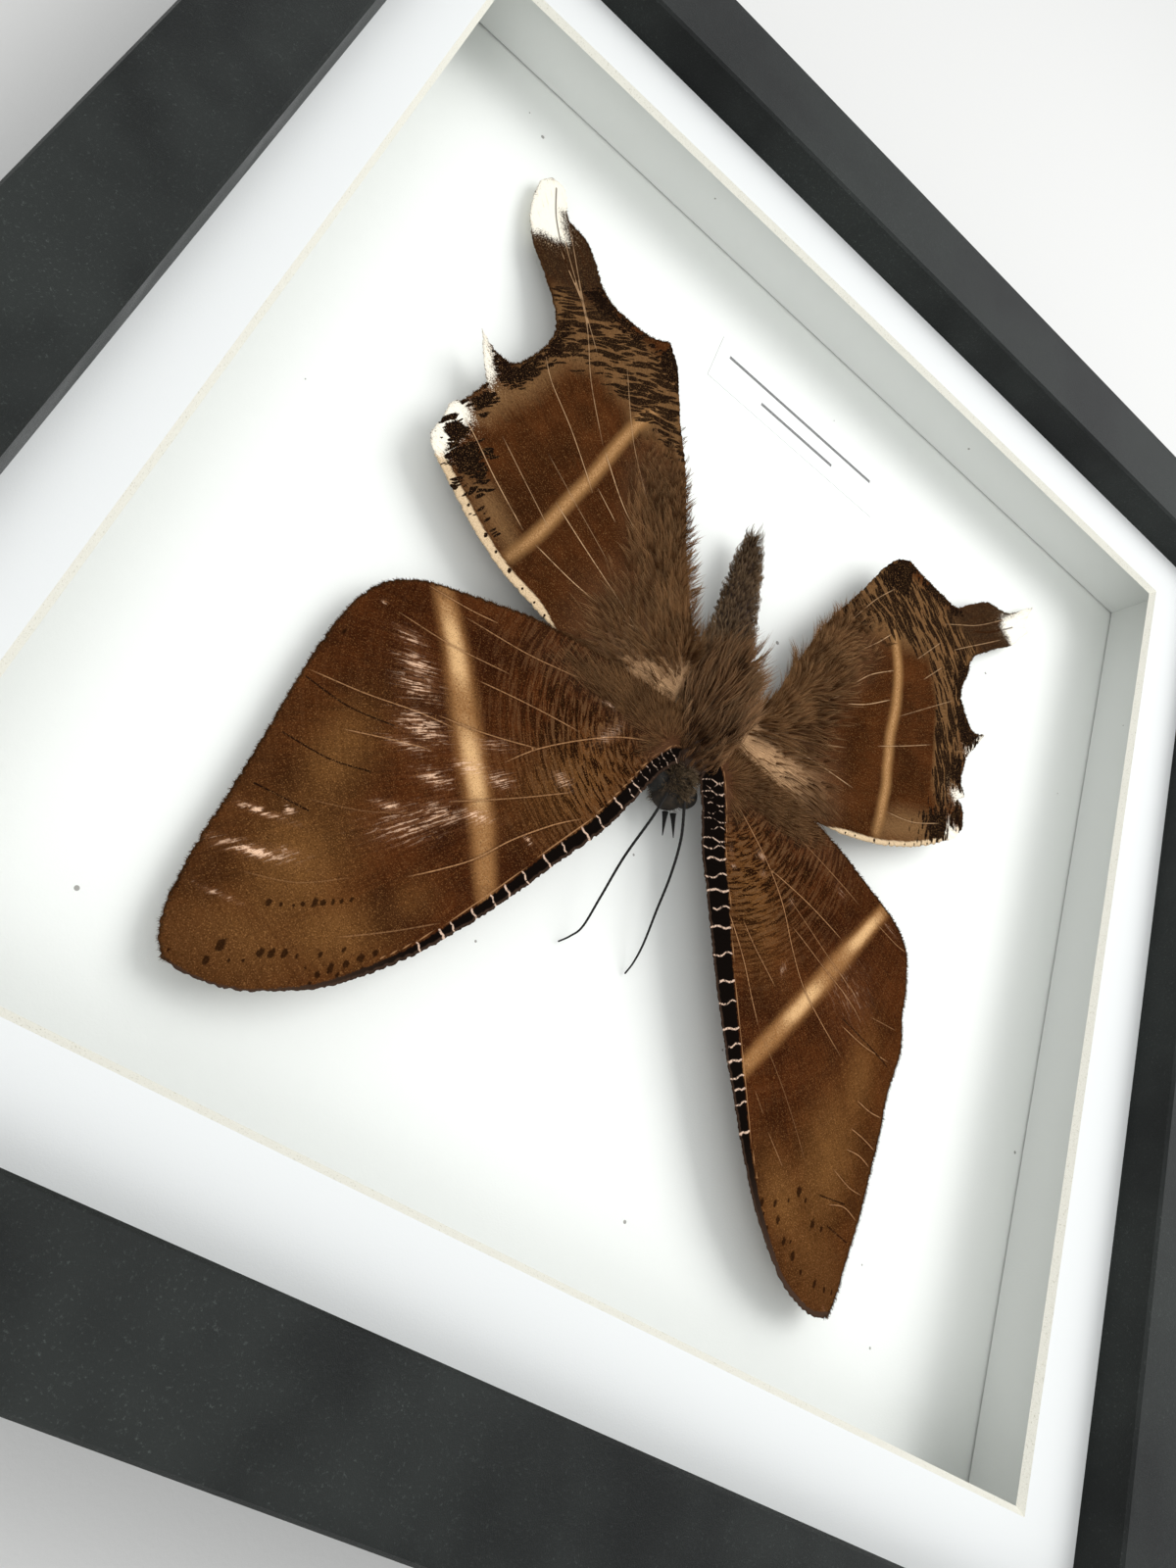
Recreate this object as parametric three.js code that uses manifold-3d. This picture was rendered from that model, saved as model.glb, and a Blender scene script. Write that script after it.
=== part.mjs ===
// Framed swallowtail moth. Millimetres, +Z out of the front of the frame, +Y towards the top rail.
// The frame lies on its back: the rear rims of the rails are at z = 0, and the origin is below its middle.
import * as THREE from 'three';
import { mergeVertices } from 'three/addons/utils/BufferGeometryUtils.js';
import Module from 'manifold-3d';

const wasm = await Module();
wasm.setup();

// Frame
const frameSize = 250;
const frameDepth = 34;
const faceWidth = 18.5;
const lipHeight = 7.9;
const rabbetDepth = 6.2;
const edgeChamfer = 0.5;
const mitreGap = 0.1;

// Boards inside the rabbet
const boardClearance = 0.3;
const matThickness = 1.0;
const windowSize = 188.5;
const windowShift = [0.4, -0.5];
const windowToBoard = 18.2;
const mountBoardThickness = 2.0;
const panelThickness = 2.5;
const spacerInner = 205.4;
const spacerGap = 0.35;
const spacerEndGap = 0.1;

// Fixings behind the panel
const pointSize = [7, 16, 0.5];
const pointInRail = 5;
const pointOffset = 62;
const slotSideGap = 0.2;
const hangerSize = [42, 9, 0.9];
const hangerFoot = 8;
const hangerRise = 1.3;
const hangerBend = 0.3;
const hangerTeeth = 9;
const hangerFromTop = 12;
const rivetRadius = 1.7;
const rivetHeight = 0.75;
const rivetSides = 16;

// Label slip
const labelSize = [47.5, 11.7, 0.25];
const labelCentre = [-1.7, -77.35];

// Moth: heights are above the mount board, x is measured out from the body
const mothX = 0.5;
const wingThickness = 0.5;
const forewingHeight = 9.7;
const forewingDroop = 5.6;
const forewingCurl = 2.3;
const hindwingHeight = 7.6;
const hindwingDroop = 1.2;
const hindwingCurl = 3;
const tailDroop = 3.2;
const tailRampOut = [42, 62];
const tailRampBack = [45, 70];
const wingRoot = 10;
const wingReach = 52;
const wingCells = [12, 8];
const wingMargin = 2;
const curvePointsPerKnot = 1.4;
const neighbourGap = 0.3;
const bodySides = 20;
const palpSides = 10;
const eyeRadius = 2.1;
const pinPlace = [-0.4, 1];
const pinTop = 6.2;
const pinRadius = 0.35;
const pinSides = 12;
const pinInBoard = 1.4;
const pinInThorax = 2.4;
const antennaRadius = 0.2;
const antennaSides = 8;
const antennaSteps = 16;

const outerHalf = frameSize / 2;
const lipHalf = outerHalf - faceWidth;
const rabbetHalf = lipHalf + rabbetDepth;
const boardHalf = rabbetHalf - boardClearance;
const matTop = frameDepth - lipHeight;
const boardTop = matTop - windowToBoard;
const boardBottom = boardTop - mountBoardThickness;
const panelBottom = boardBottom - panelThickness;

function finish(color, roughness, metalness = 0) {
  return new THREE.MeshStandardMaterial({ color, roughness, metalness });
}
const blackPaint = 0x1d1e1f;
const whiteCard = 0xf2f1ee;
const steel = 0xb9bcc0;

function solidOf(geometry) {
  const bare = geometry.clone();
  bare.deleteAttribute('normal');
  bare.deleteAttribute('uv');
  const merged = mergeVertices(bare, 1e-4);
  return new wasm.Manifold(new wasm.Mesh({
    numProp: 3,
    vertProperties: new Float32Array(merged.attributes.position.array),
    triVerts: new Uint32Array(merged.index.array),
  }));
}

function geometryOf(solid) {
  const mesh = solid.getMesh();
  const geometry = new THREE.BufferGeometry();
  geometry.setAttribute('position', new THREE.BufferAttribute(new Float32Array(mesh.vertProperties), 3));
  geometry.setIndex(new THREE.BufferAttribute(new Uint32Array(mesh.triVerts), 1));
  return geometry;
}

function addPiece(group, name, geometry, material, position = [0, 0, 0], turn = 0) {
  const mesh = new THREE.Mesh(geometry, material);
  mesh.name = name;
  mesh.position.set(...position);
  mesh.rotation.z = turn;
  group.add(mesh);
}

const slab = ([width, height, depth]) => new THREE.BoxGeometry(width, height, depth);

// A rail lies along X below the middle of the frame. Its section is drawn with u out from the middle
// and z up, and each end is drawn out to its own u, which gives the 45 degree mitre.
function railGeometry() {
  const section = new THREE.Shape([
    [rabbetHalf, 0],
    [outerHalf - edgeChamfer, 0],
    [outerHalf, edgeChamfer],
    [outerHalf, frameDepth - edgeChamfer],
    [outerHalf - edgeChamfer, frameDepth],
    [lipHalf + edgeChamfer, frameDepth],
    [lipHalf, frameDepth - edgeChamfer],
    [lipHalf, matTop],
    [rabbetHalf, matTop],
  ].map(([u, z]) => new THREE.Vector2(u, z)));
  const geometry = new THREE.ExtrudeGeometry(section, { depth: 1, steps: 1, bevelEnabled: false });
  const place = geometry.attributes.position;
  for (let i = 0; i < place.count; i++) {
    const u = place.getX(i);
    const z = place.getY(i);
    const side = 1 - place.getZ(i) * 2;
    place.setXYZ(i, side * (u - mitreGap / 2), -u, z);
  }
  return geometry;
}

function pointSlots() {
  const [width, , gauge] = pointSize;
  const depth = pointInRail + neighbourGap;
  const slot = slab([width + 2 * slotSideGap, depth, gauge + slotSideGap]);
  const y = -(rabbetHalf + depth / 2);
  return [-pointOffset, pointOffset].map((x) => slot.clone().translate(x, y, panelBottom - gauge / 2));
}

function slottedRail() {
  const slots = pointSlots().map(solidOf);
  return geometryOf(slots.reduce((rail, slot) => rail.subtract(slot), solidOf(railGeometry())));
}

// The window is cut by a four-sided frustum whose faces lean at 45 degrees.
function matGeometry() {
  const over = 1;
  const half = windowSize / 2;
  const low = half - matThickness - over;
  const high = half + over;
  const corner = Math.SQRT2;
  const cutter = new THREE.CylinderGeometry(high * corner, low * corner, matThickness + 2 * over, 4, 1);
  cutter.rotateY(Math.PI / 4).rotateX(Math.PI / 2).translate(...windowShift, 0);
  const board = slab([2 * boardHalf, 2 * boardHalf, matThickness]);
  return geometryOf(solidOf(board).subtract(solidOf(cutter)));
}

function pinBore(depth) {
  const radius = pinRadius + neighbourGap;
  return new THREE.CylinderGeometry(radius, radius, depth, pinSides).rotateX(Math.PI / 2);
}

function mountBoardGeometry() {
  const board = solidOf(slab([2 * boardHalf, 2 * boardHalf, mountBoardThickness]));
  const hole = pinBore(2 * pinInBoard).translate(pinPlace[0] + mothX, pinPlace[1], mountBoardThickness / 2);
  return geometryOf(board.subtract(solidOf(hole)));
}

// A strip with two flat feet and a raised middle whose lower edge is cut into teeth. It lies against
// the panel at z = 0.
function hangerGeometry() {
  const [length, width, gauge] = hangerSize;
  const half = length / 2;
  const foot = half - hangerFoot;
  const raised = foot - hangerRise;
  const rightSide = [
    [raised, -hangerRise],
    [foot, 0],
    [half, 0],
    [half, -gauge],
    [foot - hangerBend, -gauge],
    [raised - hangerBend, -gauge - hangerRise],
  ];
  const leftSide = rightSide.map(([x, z]) => [-x, z]).reverse();
  const side = new THREE.Shape([...rightSide, ...leftSide].map(([x, z]) => new THREE.Vector2(x, z)));
  const strip = new THREE.ExtrudeGeometry(side, { depth: width, steps: 1, bevelEnabled: false });
  strip.rotateX(Math.PI / 2).translate(0, width / 2, 0);
  let hanger = solidOf(strip);
  const run = 2 * (raised - hangerRise);
  const pitch = run / hangerTeeth;
  const through = 2 * (gauge + hangerRise);
  for (let i = 0; i < hangerTeeth; i++) {
    const notch = new THREE.CylinderGeometry(pitch / 2, pitch / 2, through, 3).rotateX(Math.PI / 2);
    notch.translate(-run / 2 + (i + 0.5) * pitch, -width / 2, -gauge);
    hanger = hanger.subtract(solidOf(notch));
  }
  return geometryOf(hanger);
}

function rivetGeometry() {
  const dome = [[0, 0], [1, 0], [1, 0.35], [0.7, 0.8], [0, 1]];
  const profile = dome.map(([r, h]) => new THREE.Vector2(r * rivetRadius, h * rivetHeight));
  return new THREE.LatheGeometry(profile, rivetSides).rotateX(-Math.PI / 2);
}

// A body section is an ellipse: y along the body, then its middle (x, z) and its half width and half height.
function bodyGeometry(sections, grow = 0, sides = bodySides) {
  const positions = [];
  const faces = [];
  for (const [y, x, z, halfWidth, halfHeight] of sections) {
    for (let i = 0; i < sides; i++) {
      const angle = (i / sides) * 2 * Math.PI;
      const across = x + (halfWidth + grow) * Math.cos(angle);
      const up = z + (halfHeight + grow) * Math.sin(angle);
      positions.push(across, y, up);
    }
  }
  for (let ring = 0; ring + 1 < sections.length; ring++) {
    for (let i = 0; i < sides; i++) {
      const a = ring * sides + i;
      const b = ring * sides + ((i + 1) % sides);
      faces.push(a, b, b + sides, a, b + sides, a + sides);
    }
  }
  for (const [ring, flip] of [[0, true], [sections.length - 1, false]]) {
    const [y, x, z] = sections[ring];
    const middle = positions.length / 3;
    positions.push(x, y, z);
    for (let i = 0; i < sides; i++) {
      const a = ring * sides + i;
      const b = ring * sides + ((i + 1) % sides);
      faces.push(middle, flip ? b : a, flip ? a : b);
    }
  }
  const geometry = new THREE.BufferGeometry();
  geometry.setAttribute('position', new THREE.Float32BufferAttribute(positions, 3));
  geometry.setIndex(faces);
  return geometry;
}

// The sections run from the front of each part to its rear, so y falls.
const thoraxSections = [
  [13.4, 0.3, 8.0, 2.6, 2.4],
  [11.5, 0.2, 8.2, 4.8, 3.9],
  [8, -0.1, 8.4, 6.0, 4.7],
  [3, -0.5, 8.4, 6.7, 5.0],
  [-2, -0.8, 8.1, 6.8, 4.8],
  [-7, -0.8, 7.6, 6.0, 4.3],
  [-10.5, -0.5, 7.1, 4.9, 3.9],
  [-12.6, -0.2, 6.8, 3.6, 3.2],
];
const abdomenSections = [
  [-12.9, -0.2, 6.6, 3.9, 3.7],
  [-16, -0.1, 6.4, 4.0, 3.8],
  [-21, 0.1, 6.1, 3.6, 3.4],
  [-27, 0.6, 5.8, 3.1, 2.9],
  [-33, 1.1, 5.5, 2.4, 2.2],
  [-37.5, 1.5, 5.3, 1.4, 1.3],
  [-40.5, 1.8, 5.2, 0.5, 0.5],
];
const headSections = [
  [20.2, 0.9, 6.0, 1.2, 1.1],
  [19.2, 0.9, 6.2, 2.6, 2.2],
  [17.4, 0.8, 6.6, 3.5, 2.9],
  [15.4, 0.7, 6.9, 3.4, 3.0],
  [13.8, 0.5, 7.2, 2.2, 2.2],
];
const eyes = [[-2.1, 16.2, 6.6], [3.7, 16.5, 6.6]];

function headGeometry(grow = 0) {
  let head = solidOf(bodyGeometry(headSections, grow));
  for (const place of eyes) {
    const eye = new THREE.SphereGeometry(eyeRadius + grow, 16, 10).translate(...place);
    head = head.add(solidOf(eye));
  }
  return geometryOf(head);
}

function thoraxGeometry() {
  const bore = pinBore(2 * pinInThorax).translate(...pinPlace, pinTop - pinInThorax + neighbourGap);
  return geometryOf(solidOf(bodyGeometry(thoraxSections)).subtract(solidOf(bore)));
}

const thoraxCutter = solidOf(bodyGeometry(thoraxSections, neighbourGap));
const bodyCutter = thoraxCutter.add(solidOf(headGeometry(neighbourGap)));

const ramp = (value, from, to) => THREE.MathUtils.smoothstep(value, from, to);

function forewingZ(out) {
  const along = Math.max(0, (out - wingRoot) / wingReach);
  return forewingHeight - forewingDroop * along ** forewingCurl;
}

function hindwingZ(out, y) {
  const along = Math.max(0, (out - wingRoot) / wingReach);
  const tail = ramp(out, ...tailRampOut) * ramp(-y, ...tailRampBack);
  return hindwingHeight - hindwingDroop * along ** hindwingCurl - tailDroop * tail;
}

// Each wing's outline is a chain of smooth runs that meet in corners. Points are [out from the body, y].
const forewingRight = [
  [[5.5, 17], [8.3, 24.5], [11.5, 32], [16.2, 40], [20.7, 48], [25.7, 56], [31.5, 64], [39.3, 72],
    [45.7, 76], [51, 78.3], [56, 78.9], [59.8, 78.4]],
  [[59.8, 78.4], [61.7, 75.5], [62.8, 71], [63.1, 64], [62.7, 54], [62.5, 44], [62.4, 34], [62, 27],
    [61, 20.5], [58.6, 15], [54.5, 11.7], [50, 10]],
  [[50, 10], [42, 8], [34, 6.3], [22, 5.2], [8, 4.5]],
];
const forewingLeft = [
  [[4, 18], [6.5, 24.5], [10.2, 31], [15.2, 40], [20.8, 49], [25.5, 55.8], [31.6, 64.3], [37.4, 71],
    [45.5, 77.3], [51.5, 79.5], [56, 80], [59.8, 79]],
  [[59.8, 79], [61.2, 74.5], [61.8, 68], [62.6, 60], [62.9, 50], [62.7, 40], [63.6, 31.5], [61.7, 26],
    [60.6, 19.5], [58, 14.6], [52.5, 11.8], [47.5, 10.7]],
  [[47.5, 10.7], [42, 9.6], [36, 8.2], [28, 6.8], [20, 5.8], [8, 4.6]],
];
const hindwingRight = [
  [[7, 4.5], [20, 6.4], [30, 5.6], [37.2, 4], [44.2, 2], [51.8, -2], [57.8, -6], [62.5, -9.5]],
  [[62.5, -9.5], [63.9, -12], [63.6, -16], [63.6, -19.3], [62, -21.6]],
  [[62, -21.6], [61, -24.5], [60.2, -27.3]],
  [[60.2, -27.3], [62.3, -30.5], [65.3, -36.5]],
  [[65.3, -36.5], [61.5, -34.3], [58, -34.2], [56.2, -37]],
  [[56.2, -37], [54.7, -41], [54.2, -46], [55.8, -50], [58.3, -54], [61.1, -58], [65.1, -63.5],
    [68.3, -70.5], [69.4, -78]],
  [[69.4, -78], [67.5, -80.6], [64.5, -80.2], [62.8, -77.5], [61, -74.3], [56.5, -72.3], [53, -68],
    [49.8, -63], [45.5, -60.3], [38.5, -60.3], [34.3, -62.6]],
  [[34.3, -62.6], [31, -59], [28.3, -53.5], [25.5, -47.5], [21.5, -40.5], [18.3, -33], [15, -25],
    [11, -17], [7, -10], [4.5, -4]],
];
const hindwingLeft = [
  [[7, 4.5], [20, 6.2], [31.5, 4.9], [41.5, 2], [49.8, -2], [55.9, -6], [60, -9.5], [62.6, -11.7],
    [64, -15]],
  [[64, -15], [63.4, -17.2], [62.5, -19], [61, -20]],
  [[61, -20], [62.8, -21.6], [60.9, -23.8], [60.6, -27], [60.8, -30]],
  [[60.8, -30], [62.5, -33], [65, -38.5]],
  [[65, -38.5], [62, -36.6], [60, -36.8], [57.5, -38.8], [55.5, -41]],
  [[55.5, -41], [55.2, -44], [56.2, -48], [56.2, -51], [58, -54.5], [61.3, -58], [64.9, -62],
    [70.5, -67.5], [73, -71.5], [75.3, -75]],
  [[75.3, -75], [73.4, -75.6], [73.8, -78], [75, -82.3]],
  [[75, -82.3], [72, -79.5], [68, -75], [64.5, -73.3], [60.5, -72.3], [57.3, -69.5], [53, -65],
    [49, -60.8], [44, -59.8], [37.5, -60.3], [33.5, -61]],
  [[33.5, -61], [30, -58.8], [27, -54], [25.2, -49.5], [22, -42], [19, -35.5], [16.3, -27.5],
    [13.7, -18.5], [11.5, -10.5], [6, -3]],
];

function outlineShape(runs, side) {
  const points = [];
  for (const run of runs) {
    const curve = new THREE.SplineCurve(run.map(([out, y]) => new THREE.Vector2(side * out, y)));
    points.push(...curve.getPoints(Math.ceil(run.length * curvePointsPerKnot)).slice(0, -1));
  }
  return new THREE.Shape([...points, new THREE.Vector2(side * runs[0][0][0], runs[0][0][1])]);
}

// A wing is the outline standing as a block, cut down to a thin sheet that follows the wing's height.
function wingGeometry(runs, side, height) {
  const depth = 3 * Math.max(forewingHeight, hindwingHeight);
  const block = new THREE.ExtrudeGeometry(outlineShape(runs, side), { depth, steps: 1, bevelEnabled: false });
  const bounds = new THREE.Box2().setFromPoints(runs.flat().map(([out, y]) => new THREE.Vector2(out, y)));
  const size = bounds.expandByScalar(wingMargin).getSize(new THREE.Vector2());
  const middle = bounds.getCenter(new THREE.Vector2());
  const sheet = new THREE.BoxGeometry(size.x, size.y, wingThickness, ...wingCells, 1);
  sheet.translate(side * middle.x, middle.y, 0);
  const place = sheet.attributes.position;
  for (let i = 0; i < place.count; i++) {
    place.setZ(i, place.getZ(i) + height(side * place.getX(i), place.getY(i)));
  }
  return geometryOf(solidOf(block).intersect(solidOf(sheet)).subtract(bodyCutter));
}

function antennaGeometry(route) {
  const section = new THREE.Shape();
  section.absarc(0, 0, antennaRadius, 0, 2 * Math.PI);
  const extrudePath = new THREE.CatmullRomCurve3(route.map((point) => new THREE.Vector3(...point)));
  const options = { steps: antennaSteps, curveSegments: antennaSides, bevelEnabled: false, extrudePath };
  return new THREE.ExtrudeGeometry(section, options);
}

// The antennae leave the head high up and come down until their tips touch the board.
const antennaRight = [
  [2.6, 19.6, 8.9],
  [3.4, 24, 8.6],
  [4.9, 32, 7.2],
  [5.2, 39, 5.2],
  [5.2, 44, 3.2],
  [6.0, 46, 2.0],
  [6.9, 47.3, 0.7],
];
const antennaLeft = [
  [-1.0, 19.0, 8.9],
  [-3.0, 24, 8.4],
  [-4.2, 30, 7.2],
  [-5.0, 36, 5.4],
  [-6.0, 41, 3.4],
  [-6.4, 44, 1.8],
  [-6.3, 46, 0.7],
];

// A palp is a body of its own that starts at its place [x, y, z] and is turned a little to the side.
const palpSections = [
  [0, 0, 0, 0.5, 0.5],
  [-0.9, 0, 0, 0.62, 0.6],
  [-2.2, 0, 0, 0.3, 0.3],
  [-3.5, 0, 0, 0.1, 0.1],
];
const palps = { palp_right: [-0.6, 20.5, 5.2, 0.25], palp_left: [-2.2, 19.9, 5.2, 0.4] };

function moth() {
  const group = new THREE.Group();
  group.position.set(mothX, 0, boardTop);
  const wing = finish(0x5a3317, 0.6);
  const fur = finish(0x5b4230, 0.9);
  const dark = finish(0x1c1a18, 0.6);
  addPiece(group, 'thorax', thoraxGeometry(), fur);
  addPiece(group, 'abdomen', bodyGeometry(abdomenSections), finish(0x6a5744, 0.9));
  addPiece(group, 'head', headGeometry(), dark);
  addPiece(group, 'forewing_right', wingGeometry(forewingRight, 1, forewingZ), wing);
  addPiece(group, 'forewing_left', wingGeometry(forewingLeft, -1, forewingZ), wing);
  addPiece(group, 'hindwing_right', wingGeometry(hindwingRight, 1, hindwingZ), wing);
  addPiece(group, 'hindwing_left', wingGeometry(hindwingLeft, -1, hindwingZ), wing);
  addPiece(group, 'antenna_right', antennaGeometry(antennaRight), dark);
  addPiece(group, 'antenna_left', antennaGeometry(antennaLeft), dark);
  for (const [name, [x, y, z, turn]] of Object.entries(palps)) {
    const palp = bodyGeometry(palpSections, 0, palpSides).rotateZ(Math.PI);
    addPiece(group, name, palp, dark, [x, y, z], turn);
  }
  const pinLength = pinTop + pinInBoard - neighbourGap;
  const pin = new THREE.CylinderGeometry(pinRadius, pinRadius, pinLength, pinSides).rotateX(Math.PI / 2);
  addPiece(group, 'mounting_pin', pin, finish(steel, 0.3, 1), [...pinPlace, pinTop - pinLength / 2]);
  return group;
}

function frame() {
  const group = new THREE.Group();
  const rail = slottedRail();
  const rails = { rail_bottom: 0, rail_right: 1, rail_top: 2, rail_left: 3 };
  for (const [name, quarter] of Object.entries(rails)) {
    addPiece(group, name, rail.clone(), finish(blackPaint, 0.5), [0, 0, 0], (quarter * Math.PI) / 2);
  }
  const card = finish(whiteCard, 0.85);
  addPiece(group, 'mat', matGeometry(), card, [0, 0, matTop - matThickness / 2]);
  addPiece(group, 'mount_board', mountBoardGeometry(), card, [0, 0, (boardTop + boardBottom) / 2]);

  const tall = windowToBoard - matThickness - spacerGap;
  const spacerZ = boardTop + spacerGap + tall / 2;
  const thick = boardHalf - spacerInner / 2;
  const reach = boardHalf - thick / 2;
  const sideLength = spacerInner - spacerEndGap;
  addPiece(group, 'spacer_top', slab([2 * boardHalf, thick, tall]), card, [0, reach, spacerZ]);
  addPiece(group, 'spacer_bottom', slab([2 * boardHalf, thick, tall]), card, [0, -reach, spacerZ]);
  addPiece(group, 'spacer_left', slab([thick, sideLength, tall]), card, [-reach, 0, spacerZ]);
  addPiece(group, 'spacer_right', slab([thick, sideLength, tall]), card, [reach, 0, spacerZ]);
  addPiece(group, 'label_slip', slab(labelSize), card, [...labelCentre, boardTop + labelSize[2] / 2]);
  return group;
}

function rearFixings() {
  const group = new THREE.Group();
  const metal = finish(steel, 0.35, 1);
  const panel = slab([2 * boardHalf, 2 * boardHalf, panelThickness]);
  addPiece(group, 'backing_panel', panel, finish(0x8a6a48, 0.85), [0, 0, boardBottom - panelThickness / 2]);
  const out = rabbetHalf + pointInRail - pointSize[1] / 2;
  let count = 1;
  for (let quarter = 0; quarter < 4; quarter++) {
    const angle = (quarter * Math.PI) / 2;
    for (const x of [-pointOffset, pointOffset]) {
      const place = new THREE.Vector3(x, -out, panelBottom - pointSize[2] / 2);
      place.applyAxisAngle(new THREE.Vector3(0, 0, 1), angle);
      addPiece(group, `point_${count}`, slab(pointSize), metal, place.toArray(), angle);
      count += 1;
    }
  }
  const hangerY = rabbetHalf - hangerFromTop;
  addPiece(group, 'hanger', hangerGeometry(), metal, [0, hangerY, panelBottom]);
  for (const [name, side] of [['hanger_rivet_left', -1], ['hanger_rivet_right', 1]]) {
    const x = side * (hangerSize[0] - hangerFoot) / 2;
    addPiece(group, name, rivetGeometry(), metal, [x, hangerY, panelBottom - hangerSize[2]]);
  }
  return group;
}

const specimen = new THREE.Group();
specimen.add(frame(), rearFixings(), moth());

export default specimen;
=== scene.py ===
"""Framed swallowtail moth: the looks of the box frame, its boards and the moth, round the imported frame.

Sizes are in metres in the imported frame: +Z out of the front, +Y towards the top rail. Outlines and
markings of the moth are written in millimetres in that same frame and turned into metres when a mesh is
built.
"""
import logging
import math
from collections.abc import Callable, Iterable, Sequence
from dataclasses import dataclass, field
from enum import Enum
from functools import reduce

import bpy
import numpy as np
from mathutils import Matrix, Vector, geometry, noise


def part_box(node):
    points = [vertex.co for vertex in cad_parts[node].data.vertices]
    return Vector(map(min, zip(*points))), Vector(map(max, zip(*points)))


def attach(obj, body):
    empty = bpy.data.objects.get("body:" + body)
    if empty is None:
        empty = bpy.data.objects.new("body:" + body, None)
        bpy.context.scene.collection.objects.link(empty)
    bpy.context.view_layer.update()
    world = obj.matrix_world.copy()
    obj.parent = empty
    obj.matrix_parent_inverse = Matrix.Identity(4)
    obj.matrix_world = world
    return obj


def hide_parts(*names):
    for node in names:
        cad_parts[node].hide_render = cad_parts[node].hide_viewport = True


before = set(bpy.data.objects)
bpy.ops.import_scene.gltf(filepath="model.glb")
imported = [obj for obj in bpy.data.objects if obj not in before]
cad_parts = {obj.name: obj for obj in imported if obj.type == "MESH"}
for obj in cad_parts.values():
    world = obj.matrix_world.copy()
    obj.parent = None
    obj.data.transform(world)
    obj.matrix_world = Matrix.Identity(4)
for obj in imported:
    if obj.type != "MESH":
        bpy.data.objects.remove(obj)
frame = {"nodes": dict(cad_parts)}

log = logging.getLogger("moth_frame")
MM = 0.001
Point = tuple[float, float]
Colour = tuple[float, float, float, float]
Socket = bpy.types.NodeSocket
Value = float | Socket


def paint(red: int, green: int, blue: int) -> Colour:
    """Turns three display values into a colour of the shaders.

    Args:
        red: The red value, from 0 to 255.
        green: The green value.
        blue: The blue value.

    Returns:
        The colour in linear light.
    """
    steps = [v / 255 for v in (red, green, blue)]
    linear = [s / 12.92 if s <= 0.04045 else ((s + 0.055) / 1.055) ** 2.4 for s in steps]
    return (*linear, 1.0)


def smooth_step(value: np.ndarray, start: float, end: float) -> np.ndarray:
    """Rises smoothly from 0 at start to 1 at end."""
    t = np.clip((value - start) / (end - start), 0, 1)
    return t * t * (3 - 2 * t)


class Side(Enum):
    """The moth's own sides: its right wings lie on the +X side of the frame."""

    RIGHT = 1
    LEFT = -1


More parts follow.
